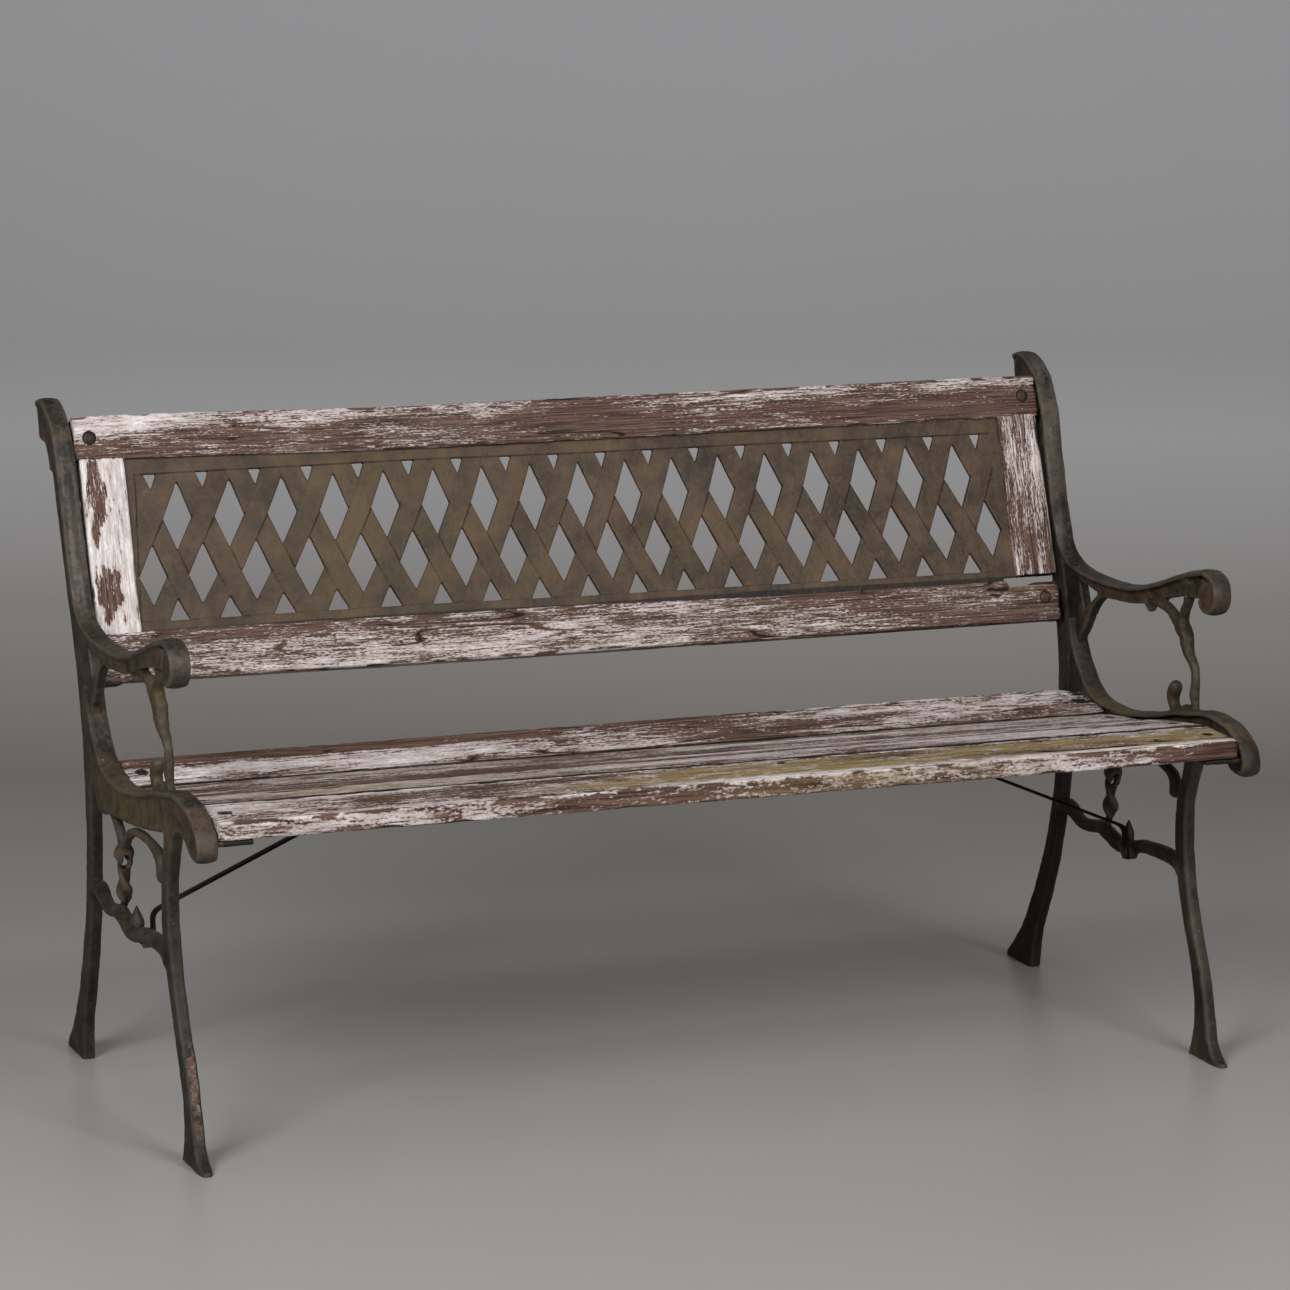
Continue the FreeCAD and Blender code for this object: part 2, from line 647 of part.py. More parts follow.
def bolt_seats(owner, label, role, half, up, lift="0"):
    """A hole and a recess for a bolt at each end of a board of that half length."""
    axis = f"({half} - sizes.bolt_inset)"
    ends = [(f"-{axis}", up), (axis, up)]
    pocket(owner, circles(sketch(owner, label + "_holes", role, lift), ends, HOLE))
    recess = circles(sketch(owner, label + "_recesses", role, lift), ends, RECESS)
    pocket(owner, recess, "sizes.counterbore_depth")


def back_rail(label, height, up, middle, groove_low, groove_high):
    """A back rail, grooved for the lattice along the edge that faces it."""
    half = f"({BOARD_HALF} + {lean_out(middle)})"
    made = body(label, back_placement(up))
    board = rectangle(sketch(made, label + "_end", "YZ_Plane"), "0", "0", "sizes.board_thickness", height)
    pad(made, board, f"2 * {half}", "Symmetric")
    groove = sketch(made, label + "_groove", "YZ_Plane")
    rectangle(groove, GROOVE_FRONT, groove_low, GROOVE_REAR, groove_high)
    pocket(made, groove, side="Symmetric")
    bolt_seats(made, label, "XZ_Plane", half, f"({height} / 2)")


def back_stile(label, side):
    """An upright beside the lattice, with tongues in the grooves of both rails."""
    outer = board_half + outward(back_point(stile_foot, 0)) - size("stile_inset")
    made = body(label, back_placement(stile_foot, 0, side * (outer - size("stile_width"))))
    width = f"({side} * sizes.stile_width)"
    board = rectangle(sketch(made, label + "_end", "XY_Plane"), "0", "0", width, "sizes.board_thickness")
    pad(made, board, "sizes.panel_opening")
    tongue = sketch(made, label + "_tongue", "XY_Plane", f"-{TONGUE}")
    rectangle(tongue, "0", TONGUE_FRONT, width, TONGUE_REAR)
    pad(made, tongue, f"sizes.panel_opening + 2 * {TONGUE}")
    groove = sketch(made, label + "_groove", "XY_Plane")
    rectangle(groove, "0", GROOVE_FRONT, f"({side} * sizes.groove_depth)", GROOVE_REAR)
    pocket(made, groove, side="Symmetric")


def lattice_panel():
    """The lattice: a plate with rows of diamonds that get taller upwards, and triangles at its borders."""
    made = body("lattice_panel", back_placement(size("rail_bottom_height"),
                                                (size("board_thickness") - size("panel_thickness")) / 2))
    reach = f"({PANEL_HALF} + {TONGUE})"
    plate_face = sketch(made, "lattice_plate", "XZ_Plane")
    rectangle(plate_face, f"-{reach}", "-sizes.groove_depth", reach, f"sizes.panel_opening + {TONGUE}")
    pad(made, plate_face, "sizes.panel_thickness", backwards=True)
    pitch = f"(2 * {PANEL_HALF} / {DIAMONDS + 1})"
    gap = f"(({pitch} - sizes.strap_width) / 2)"
    share = f"(sizes.strap_width / {pitch})"
    heights = [f"(sizes.lattice_row + {k} * sizes.lattice_growth)" for k in range(3)]
    rows = ["sizes.lattice_start"]
    for height in heights:
        rows.append(f"({rows[-1]} + {height})")

    def diamond(x, k):
        low = f"({rows[k - 1]} + {heights[k - 1]} * {share})"
        high = f"({rows[k + 1]} - {heights[k]} * {share})"
        return [(f"{x} - {gap}", rows[k]), (x, low), (f"{x} + {gap}", rows[k]), (x, high)]

    def triangle(x, apex, base, height):
        half = f"(abs({apex} - {base}) * {pitch} / 2 / {height})"
        return [(f"{x} - {half}", base), (f"{x} + {half}", base), (x, apex)]

    whole = f"(-{(DIAMONDS - 1) / 2} * {pitch})"
    between = f"(-{DIAMONDS / 2} * {pitch})"
    low_apex = f"({rows[1]} - {heights[0]} * {share})"
    high_apex = f"({rows[2]} + {heights[2]} * {share})"
    top_edge = "(sizes.panel_opening - sizes.panel_border)"
    cells = (
        ("upper_diamond", diamond(whole, 2), DIAMONDS),
        ("lower_diamond", diamond(between, 1), DIAMONDS + 1),
        ("bottom_triangle", triangle(whole, low_apex, "sizes.panel_border", heights[0]), DIAMONDS),
        ("top_triangle", triangle(between, high_apex, top_edge, heights[2]), DIAMONDS + 1),
    )
    for label, corners, count in cells:
        cell = outline(sketch(made, label, "XZ_Plane"), corners)
        repeat(made, cell, pocket(made, cell), pitch, count)


def seat_slat(number, place):
    """A seat slat, rounded along its two top edges."""
    label = f"seat_slat_{number + 1}"
    made = body(label, slat_placement(place))
    board = sketch(made, label + "_end", "YZ_Plane")
    rectangle(board, "0", "0", "sizes.slat_width", "sizes.slat_thickness")
    block = pad(made, board, f"2 * {BOARD_HALF}", "Symmetric")
    doc.recompute()
    top_edges = []
    for i, edge in enumerate(block.Shape.Edges, 1):
        on_top = abs(edge.CenterOfMass.z - size("slat_thickness")) < 1e-6
        if on_top and edge.BoundBox.XLength > board_half:
            top_edges.append(f"Edge{i}")
    soft = made.newObject("PartDesign::Fillet", label + "_round")
    soft.Base = (block, top_edges)
    soft.setExpression("Radius", "sizes.slat_round")
    bolt_seats(made, label, "XY_Plane", BOARD_HALF, "(sizes.slat_width / 2)", "sizes.slat_thickness")
    if number == BRACED_SLAT:
        middle = "(sizes.slat_width / 2)"
        ends = [("-sizes.brace_top_x", middle), ("sizes.brace_top_x", middle)]
        holes = sketch(made, label + "_screw_holes", "XY_Plane", "sizes.screw_length")
        circles(holes, ends, "(sizes.screw_diameter + 2 * sizes.bolt_clearance)")
        pocket(made, holes, "sizes.screw_length")


def brace():
    """A flat bar from the stretcher up to the slat, with a tab at each end; its top fixing is the origin."""
    middle = size("brace_thickness") / 2
    tab = size("brace_tab")
    foot_x = boss_x - middle - size("brace_top_x")
    bends = [Vector(tab, 0, -middle), Vector(foot_x, 0, 2 * tab - brace_drop)]
    corners = [Vector(-tab, 0, -middle)] + bends + [Vector(foot_x, 0, -brace_drop - tab / 2)]
    radius = size("brace_bend") + middle
    edges = []
    start = corners[0]
    for before, corner, after in zip(corners, corners[1:], corners[2:]):
        towards = unit(before - corner)
        onwards = unit(after - corner)
        half = math.acos(towards.dot(onwards)) / 2
        reach = radius / math.tan(half)
        inward = unit(towards + onwards)
        crown = corner + inward * (radius / math.sin(half) - radius)
        edges.append(Part.makeLine(start, corner + towards * reach))
        edges.append(Part.Arc(corner + towards * reach, crown, corner + onwards * reach).toShape())
        start = corner + onwards * reach
    edges.append(Part.makeLine(start, corners[-1]))
    wide = Vector(0, size("brace_width") / 2, 0)
    thick = Vector(0, 0, middle)
    at = corners[0]
    profile = Part.makePolygon([at - wide - thick, at + wide - thick, at + wide + thick, at - wide + thick,
                                at - wide - thick])
    shell = Part.BRepOffsetAPI.MakePipeShell(Part.Wire(edges))
    shell.setBiNormalMode(Vector(0, 1, 0))
    shell.add(profile)
    shell.build()
    shell.makeSolid()
    bar = shell.shape()
    screw_hole = Part.makeCylinder(size("screw_diameter") / 2 + size("bolt_clearance"), 2 * tab,
                                   Vector(0, 0, -tab), Vector(0, 0, 1))
    bolt_hole = Part.makeCylinder(hole_radius, 2 * tab, Vector(foot_x - tab, 0, -brace_drop), X_AXIS)
    return bar.cut([screw_hole, bolt_hole])


def bolt(length, head_diameter, head_height, diameter):
    """A bolt with its low domed head above z = 0 and its shank below."""
    shank = Part.makeCylinder(diameter / 2, length, Vector(0, 0, -length), Vector(0, 0, 1))
    rim = head_height / 2
    head = Part.makeCylinder(head_diameter / 2, rim)
    crown = Part.makeCone(head_diameter / 2, head_diameter / 4, head_height - rim, Vector(0, 0, rim))
    return shank.fuse([head, crown]).removeSplitter()


def nut():
    """A hexagon nut that stands on z = 0."""
    radius = size("nut_across") / math.sqrt(3)
    turns = [math.radians(60 * i) for i in range(7)]
    rim = Part.makePolygon([Vector(radius * math.cos(turn), radius * math.sin(turn), 0) for turn in turns])
    block = Part.Face(rim).extrude(Vector(0, 0, size("nut_height")))
    return block.cut(Part.makeCylinder(size("bolt_diameter") / 2 + size("nut_clearance"), size("nut_height")))


def group(label, shape, placements):
    """Equal fasteners, each in its own place, as one sub-part."""
    copies = []
    for placement in placements:
        copy = shape.copy()
        copy.Placement = placement
        copies.append(copy)
    add(label, Part.makeCompound(copies))


# The castings
casting = end_frame()
add("end_frame_right", casting, Placement(X_AXIS * web_x, Rotation()))
add("end_frame_left", casting.mirror(Vector(0, 0, 0), X_AXIS), Placement(X_AXIS * -web_x, Rotation()))

# The framed lattice of the back
back_rail("back_rail_bottom", "sizes.rail_bottom_height", 0, BOTTOM_MIDDLE,
          "(sizes.rail_bottom_height - sizes.groove_depth)", "sizes.rail_bottom_height")
back_rail("back_rail_top", "sizes.rail_top_height", back_height - size("rail_top_height"), TOP_MIDDLE,
          "0", "sizes.groove_depth")
back_stile("back_stile_left", -1)
back_stile("back_stile_right", 1)
lattice_panel()

# The seat and its braces
for number, place in enumerate(slats):
    seat_slat(number, place)
mirrored_top = slat_placement(slats[BRACED_SLAT], -size("brace_top_x"), size("slat_width") / 2)
add("seat_brace_right", brace(), brace_top)
add("seat_brace_left", brace().mirror(Vector(0, 0, 0), X_AXIS), mirrored_top)

# The fasteners
SIDES = (-1, 1)
to_front = Rotation(X_AXIS, 90)
to_rear = Rotation(X_AXIS, -90)
upside_down = Rotation(X_AXIS, 180)
behind_head = size("nut_height") + size("bolt_past_nut")
back_grip = size("board_thickness") - size("counterbore_depth") + size("lug_thickness")
seat_grip = size("slat_thickness") - size("counterbore_depth") + size("ledge_thickness")
lug_back = size("board_thickness") + size("lug_thickness")
slat_middle = size("slat_width") / 2
head_level = size("slat_thickness") - size("counterbore_depth")


def turned(placement, rotation):
    return placement.multiply(Placement(Vector(), rotation))


back_heads = [turned(back_placement(up, size("counterbore_depth"), side * rail_bolt_x(up)), to_front)
              for up in rail_middles for side in SIDES]
back_ends = [turned(back_placement(up, lug_back, side * rail_bolt_x(up)), to_rear)
             for up in rail_middles for side in SIDES]
seat_heads = [slat_placement(place, side * bolt_x, slat_middle, head_level)
              for place in slats for side in SIDES]
seat_ends = [turned(slat_placement(place, side * bolt_x, slat_middle, -size("ledge_thickness")), upside_down)
             for place in slats for side in SIDES]
screw_heads = [turned(slat_placement(slats[BRACED_SLAT], side * size("brace_top_x"), slat_middle,
                                     -size("brace_thickness")), upside_down) for side in SIDES]
brace_face = boss_x - size("brace_thickness")
brace_heads = [Placement(Vector(side * brace_face, brace_foot.y, brace_foot.z),
                         Rotation(Vector(0, 1, 0), -90 * side)) for side in SIDES]
board_bolt = (size("head_diameter"), size("head_height"), size("bolt_diameter"))
group("back_bolts", bolt(back_grip + behind_head, *board_bolt), back_heads)
group("back_nuts", nut(), back_ends)
group("seat_bolts", bolt(seat_grip + behind_head, *board_bolt), seat_heads)
group("seat_nuts", nut(), seat_ends)
group("brace_bolts", bolt(size("brace_thickness") + size("boss_hole") - size("bolt_clearance"), *board_bolt),
      brace_heads)
screw_reach = size("brace_thickness") + size("screw_length") - size("bolt_clearance")
group("brace_screws", bolt(screw_reach, size("screw_head_diameter"), size("screw_head_height"),
                           size("screw_diameter")), screw_heads)

# The bench stands centred front to back
doc.recompute()
depth = casting.optimalBoundingBox(False)
centring = Placement(Vector(0, -(depth.YMin + depth.YMax) / 2, 0), Rotation())
for feature in parts:
    feature.Placement = centring.multiply(feature.Placement)
doc.recompute()

for item in doc.Objects:
    if "Invalid" in item.State or "Error" in item.State:
        raise RuntimeError(f"{item.Label} did not build: {item.State}")
for feature in parts:
    if feature.Shape.isNull() or not feature.Shape.isValid():
        raise RuntimeError(f"{feature.Label} has no valid shape")

os.makedirs("parts", exist_ok=True)
for feature in parts:
    feature.Shape.exportStep(f"parts/{feature.Label}.step")
    box = feature.Shape.optimalBoundingBox(False)
    low = [round(v, 1) for v in (box.XMin, box.YMin, box.ZMin)]
    high = [round(v, 1) for v in (box.XMax, box.YMax, box.ZMax)]
    print(feature.Label, len(feature.Shape.Solids), round(feature.Shape.Volume), low, high)
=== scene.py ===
import itertools
import math

import bpy
import numpy as np
from mathutils import Matrix, Vector


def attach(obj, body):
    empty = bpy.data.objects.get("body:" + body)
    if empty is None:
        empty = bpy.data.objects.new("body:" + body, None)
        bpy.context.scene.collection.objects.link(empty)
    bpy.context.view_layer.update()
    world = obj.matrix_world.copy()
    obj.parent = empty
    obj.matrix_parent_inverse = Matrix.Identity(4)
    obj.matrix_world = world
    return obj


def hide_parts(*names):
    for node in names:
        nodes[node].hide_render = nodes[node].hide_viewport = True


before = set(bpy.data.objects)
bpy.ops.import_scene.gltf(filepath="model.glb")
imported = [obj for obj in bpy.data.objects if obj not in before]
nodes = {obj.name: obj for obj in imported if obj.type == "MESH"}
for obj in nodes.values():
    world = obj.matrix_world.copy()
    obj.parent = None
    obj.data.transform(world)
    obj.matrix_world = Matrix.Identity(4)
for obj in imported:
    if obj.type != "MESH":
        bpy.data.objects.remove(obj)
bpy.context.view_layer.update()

# The camera, as solved for the photograph: square picture, long lens, in front and to the left
CAMERA_AZIMUTH = math.radians(-21.042)
CAMERA_ELEVATION = math.radians(10.625)
CAMERA_ROLL = math.radians(0.084)
CAMERA_DISTANCE = 5.3631
CAMERA_AIM = Vector((0.0, -0.0292, 0.4))
CAMERA_SHIFT_RIGHT = -0.0119
CAMERA_SHIFT_UP = 0.0802
SENSOR_WIDTH = 36.0
FOCAL_PIXELS = 4810.3
PICTURE_PIXELS = 1290


# Smooth random fields, the same in every run

# Large odd factors that scatter the corners of the noise grid, and the top of their range of heights
GRID_FACTORS = np.array((374761393, 668265263, 1442695041))
SEED_FACTOR = 1274126177
NOISE_LEVELS = 0xFFFF


def value_noise(points, seed):
    """Smooth noise between -1 and 1 at an (n, 3) array of points."""
    cell = np.floor(points).astype(np.int64)
    part = points - cell
    ease = part * part * (3 - 2 * part)
    total = np.zeros(len(points))
    for corner in itertools.product((0, 1), repeat=3):
        mix = ((cell + corner) * GRID_FACTORS).sum(1) + seed * SEED_FACTOR
        mix = (mix ^ (mix >> 13)) * SEED_FACTOR
        mix = mix ^ (mix >> 16)
        height = (mix & NOISE_LEVELS) * 2 / NOISE_LEVELS - 1
        total += height * np.where(corner, ease, 1 - ease).prod(1)
    return total


def fractal(points, seed, octaves=3):
    """Noise with finer noise on top of it."""
    total = np.zeros(len(points))
    for octave in range(octaves):
        total += value_noise(points * 2.0 ** octave, seed + octave) * 0.5 ** octave
    return total


def rough_skin(points, waves, height, seed, octaves=3):
    """Noise with so many waves to the metre, so high."""
    return fractal(points * waves, seed, octaves) * height


def columns(*values):
    """An (n, 3) array of points from three columns, of which some may be single numbers."""
    return np.stack(np.broadcast_arrays(*values), 1)


def ramp(value, low, high):
    """0 below low, 1 above high, smooth between; low may be above high."""
    share = np.clip((value - low) / (high - low), 0, 1)
    return share * share * (3 - 2 * share)


def bump_at(value, centre, half_width):
    """1 at the centre, falling to 0 at half_width on either side."""
    return ramp(np.abs(value - centre), half_width, 0)


# Meshes

# Height of an edge, or depth of a hollow, from the softened surface: where it starts to show and is full
FORM_FAINT = 0.0003
FORM_FULL = 0.0016


def vertex_array(mesh, kind="co"):
    """The places of a mesh's vertices, or their normals, as an (n, 3) array."""
    flat = np.empty(len(mesh.vertices) * 3)
    mesh.vertices.foreach_get(kind, flat)
    return flat.reshape(-1, 3)


def set_vertices(mesh, points):
    mesh.vertices.foreach_set("co", np.asarray(points, dtype=np.float32).ravel())
    mesh.update()


def set_fields(mesh, **fields):
    """Named values at each vertex, for the materials."""
    for name, values in fields.items():
        made = mesh.attributes.new(name, "FLOAT", "POINT")
        made.data.foreach_set("value", np.full(len(mesh.vertices), values, dtype=np.float32))


def smooth_shade(mesh):
    mesh.polygons.foreach_set("use_smooth", [True] * len(mesh.polygons))


def surface_form(mesh, passes):
    """How sharply each vertex stands out (edge) or lies in a hollow, from 0 to 1."""
    points = vertex_array(mesh)
    ends = np.empty(len(mesh.edges) * 2, dtype=np.int64)
    mesh.edges.foreach_get("vertices", ends)
    first, second = ends[0::2], ends[1::2]
    count = len(points)
    degree = np.bincount(first, minlength=count) + np.bincount(second, minlength=count)
    soft = points.copy()
    for _ in range(passes):
        mean = np.empty_like(soft)
        for axis in range(3):
            total = np.bincount(first, soft[second, axis], count)
            total += np.bincount(second, soft[first, axis], count)
            mean[:, axis] = total / np.maximum(degree, 1)
        soft = mean
    sink = ((soft - points) * vertex_array(mesh, "normal")).sum(1)
    return ramp(-sink, FORM_FAINT, FORM_FULL), ramp(sink, FORM_FAINT, FORM_FULL)


def add_object(name, data):
    made = bpy.data.objects.new(name, data)
    bpy.context.scene.collection.objects.link(made)
    return made


def coat(mesh, material):
    """Give a mesh one material in place of those it has."""
    mesh.materials.clear()
    mesh.materials.append(material)


def show(mesh, name, material, slot, *replaced):
    """Put a finished mesh on the bench in place of CAD nodes."""
    piece = add_object(name, mesh)
    coat(mesh, material)
    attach(piece, "root")
    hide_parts(*replaced)


def soft_copy(node, voxel, passes):
    """A copy of a CAD node with the soft edges of a sand casting."""
    piece = add_object(node + "_copy", nodes[node].data.copy())
    grain = piece.modifiers.new("grain", "REMESH")
    grain.mode = "VOXEL"
    grain.voxel_size = voxel
    ease = piece.modifiers.new("ease", "SMOOTH")
    ease.factor = 0.5
    ease.iterations = passes
    graph = bpy.context.evaluated_depsgraph_get()
    made = bpy.data.meshes.new_from_object(piece.evaluated_get(graph))
    bpy.data.objects.remove(piece)
    smooth_shade(made)
    return made


# Shader nodes

# A group's input is a place, a colour or a mask, by the value that it starts with
SOCKET_KINDS = {type(None): "NodeSocketVector", tuple: "NodeSocketColor", float: "NodeSocketFloat"}

# The colour sockets of a mix node go by number, because several sockets share a name
MIX_SHARE, MIX_FIRST, MIX_SECOND, MIX_RESULT = 0, 6, 7, 2


def add_node(tree, kind, links=None, **settings):
    """A shader node with its settings, and its inputs set to values or linked to sockets."""
    made = tree.nodes.new(kind)
    for name, value in settings.items():
        setattr(made, name, value)
    for name, value in (links or {}).items():
        socket = made.inputs[name]
        if isinstance(value, bpy.types.NodeSocket):
            tree.links.new(value, socket)
        else:
            socket.default_value = value
    return made


def rgb(red, green, blue):
    """A colour as seen on a screen, 0 to 255, in the renderer's own light values."""
    def linear(level):
        share = level / 255
        return share / 12.92 if share <= 0.04045 else ((share + 0.055) / 1.055) ** 2.4
    return (linear(red), linear(green), linear(blue), 1.0)


def new_group(name, inputs, outputs):
    """An empty node group with named inputs, each with its first value, and named outputs."""
    tree = bpy.data.node_groups.new(name, "ShaderNodeTree")
    for label, value in inputs.items():
        socket = tree.interface.new_socket(label, in_out="INPUT", socket_type=SOCKET_KINDS[type(value)])
        if value is not None:
            socket.default_value = value
    for label in outputs:
        kind = "NodeSocketColor" if label == "Color" else "NodeSocketFloat"
        tree.interface.new_socket(label, in_out="OUTPUT", socket_type=kind)
    return tree, tree.nodes.new("NodeGroupInput").outputs, tree.nodes.new("NodeGroupOutput").inputs


def noise_at(tree, vector, scale, detail, roughness):
    links = {"Vector": vector, "Scale": scale, "Detail": detail, "Roughness": roughness}
    return add_node(tree, "ShaderNodeTexNoise", links).outputs["Fac"]


def grain_noise(tree, place, along, across, detail, roughness):
    """Noise with so many waves to the metre along the grain and across it."""
    drawn = add_node(tree, "ShaderNodeVectorMath", {0: place, 1: (along, across, 1)}, operation="MULTIPLY")
    return noise_at(tree, drawn.outputs["Vector"], 1.0, detail, roughness)


def maths(tree, operation, first, second, third=0.0):
    made = add_node(tree, "ShaderNodeMath", {0: first, 1: second, 2: third}, operation=operation)
    return made.outputs["Value"]


def times(tree, first, second):
    return maths(tree, "MULTIPLY", first, second)


def between(tree, value, low, high):
    """0 below low, 1 above high, smooth between."""
    made = add_node(tree, "ShaderNodeMapRange", {"Value": value, "From Min": low, "From Max": high},
                    interpolation_type="SMOOTHSTEP")
    return made.outputs["Result"]


def blend(tree, share, first, second):
    """The first colour at a share of 0, the second at 1."""
    links = {MIX_SHARE: share, MIX_FIRST: first, MIX_SECOND: second}
    return add_node(tree, "ShaderNodeMix", links, data_type="RGBA").outputs[MIX_RESULT]


# Painted wood

# Dark and light colour of the grain in each state of the wood, and of its moss
WOOD = rgb(46, 29, 23), rgb(106, 76, 65)
GREY_WOOD = rgb(62, 52, 43), rgb(138, 126, 112)
RAW_WOOD = rgb(78, 52, 35), rgb(138, 100, 70)
MOSS = rgb(94, 77, 47), rgb(156, 135, 92)

# Colours of the paint and the dirt, the dirt also carrying painted shade
THIN_PAINT = rgb(146, 128, 121)
THICK_PAINT = rgb(196, 187, 185)
CLEAN_PAINT = rgb(232, 228, 227)
STAINED_PAINT = rgb(140, 124, 116)
SEAM = rgb(36, 24, 19)
DIRT = rgb(10, 8, 6)

# Scores at which paint starts and is whole, thick and clean
PAINT_WHOLE = 0.992, 1.012
PAINT_THICK = 1.0, 1.08
PAINT_CLEAN = 1.06, 1.22


def flaked_paint_group():
    """White paint that flakes off along the grain of weathered wood, with dirt and painted shade over it."""
    masks = ("Moss", "Bare", "Grey", "Grime")
    tree, given, result = new_group(
        "flaked paint", {"Place": None, "Coverage": 0.5} | dict.fromkeys(masks, 0.0),
        ("Color", "Roughness", "Height"))
    place = given["Place"]
    streak = grain_noise(tree, place, 30, 430, 6.0, 0.68)
    fleck = grain_noise(tree, place, 190, 760, 4.0, 0.62)
    patch = grain_noise(tree, place, 9, 56, 5.0, 0.64)
    grain = grain_noise(tree, place, 10, 520, 5.0, 0.65)
    broad = grain_noise(tree, place, 5, 26, 3.0, 0.5)
    # Where paint is left, and how thick
    score = maths(tree, "MULTIPLY_ADD", streak, 0.43, times(tree, fleck, 0.33))
    score = maths(tree, "MULTIPLY_ADD", patch, 0.24, score)
    score = maths(tree, "ADD", score, given["Coverage"])
    painted = between(tree, score, *PAINT_WHOLE)
    # The wood below: brown, greyed or freshly broken
    wood = blend(tree, between(tree, grain, 0.36, 0.66), *WOOD)
    aged = times(tree, given["Grey"], between(tree, broad, 0.3, 0.6))
    wood = blend(tree, aged, wood, blend(tree, between(tree, grain, 0.36, 0.64), *GREY_WOOD))
    coarse_grain = between(tree, grain, 0.3, 0.7)
    wood = blend(tree, given["Bare"], wood, blend(tree, coarse_grain, *RAW_WOOD))
    # The paint, stained in places
    white = blend(tree, between(tree, score, *PAINT_THICK), THIN_PAINT, THICK_PAINT)
    white = blend(tree, between(tree, score, *PAINT_CLEAN), white, CLEAN_PAINT)
    stain = between(tree, grain_noise(tree, place, 34, 190, 4.0, 0.6), 0.62, 0.4)
    white = blend(tree, times(tree, stain, 0.45), white, STAINED_PAINT)
    kept = times(tree, painted, maths(tree, "SUBTRACT", 1.0, given["Bare"]))
    shown = blend(tree, kept, wood, white)
    # Fine dark seams along the grain, then moss, and dirt with painted shade, on top
    seam = maths(tree, "SUBTRACT", grain_noise(tree, place, 7, 240, 2.0, 0.5), 0.5)
    seam = between(tree, maths(tree, "ABSOLUTE", seam, 0.0), 0.02, 0.0)
    seam = times(tree, seam, between(tree, broad, 0.42, 0.56))
    shown = blend(tree, times(tree, seam, 0.75), shown, SEAM)
    tuft = between(tree, grain_noise(tree, place, 40, 130, 5.0, 0.7), 0.32, 0.54)
    shown = blend(tree, times(tree, given["Moss"], tuft), shown, blend(tree, coarse_grain, *MOSS))
    # Dirt and painted shade in the gaps between slats, in cracks, bolt recesses and broken ends
    grimy = between(tree, maths(tree, "MULTIPLY_ADD", fleck, 0.5, given["Grime"]), 0.58, 0.86)
    shown = blend(tree, times(tree, grimy, 0.96), shown, DIRT)
    tree.links.new(shown, result["Color"])
    tree.links.new(maths(tree, "MULTIPLY_ADD", painted, -0.18, 0.82), result["Roughness"])
    height = maths(tree, "MULTIPLY_ADD", painted, 0.5, times(tree, grain, 0.6))
    tree.links.new(height, result["Height"])
    return tree


# Cast iron

IRON_FIELDS = ("Brown", "Ochre", "Wear", "Edge", "Hollow", "Chips", "Gloom")

# Colours of scale, rust, lichen, dirt and bare metal on the iron, with painted shade in hollows and under
# the seat and painted sheen on worn fronts
BROWN_SCALE = rgb(42, 31, 22), rgb(76, 57, 40)
GREY_SCALE = rgb(92, 84, 73)
BLACK_SCALE = rgb(16, 14, 11)
RUST_BLOOM = rgb(98, 78, 58)
LICHEN = rgb(82, 69, 41)
RUST_SPOT = rgb(118, 70, 42)
HOLLOW_DIRT = rgb(14, 13, 10)
BRIGHT_EDGE = rgb(98, 91, 83)
WORN_METAL = rgb(96, 90, 85)
CHIPPED = rgb(104, 68, 46), rgb(124, 126, 124)
DEEP_GLOOM = rgb(12, 10, 8)
PALE_SPECK = rgb(186, 184, 178)


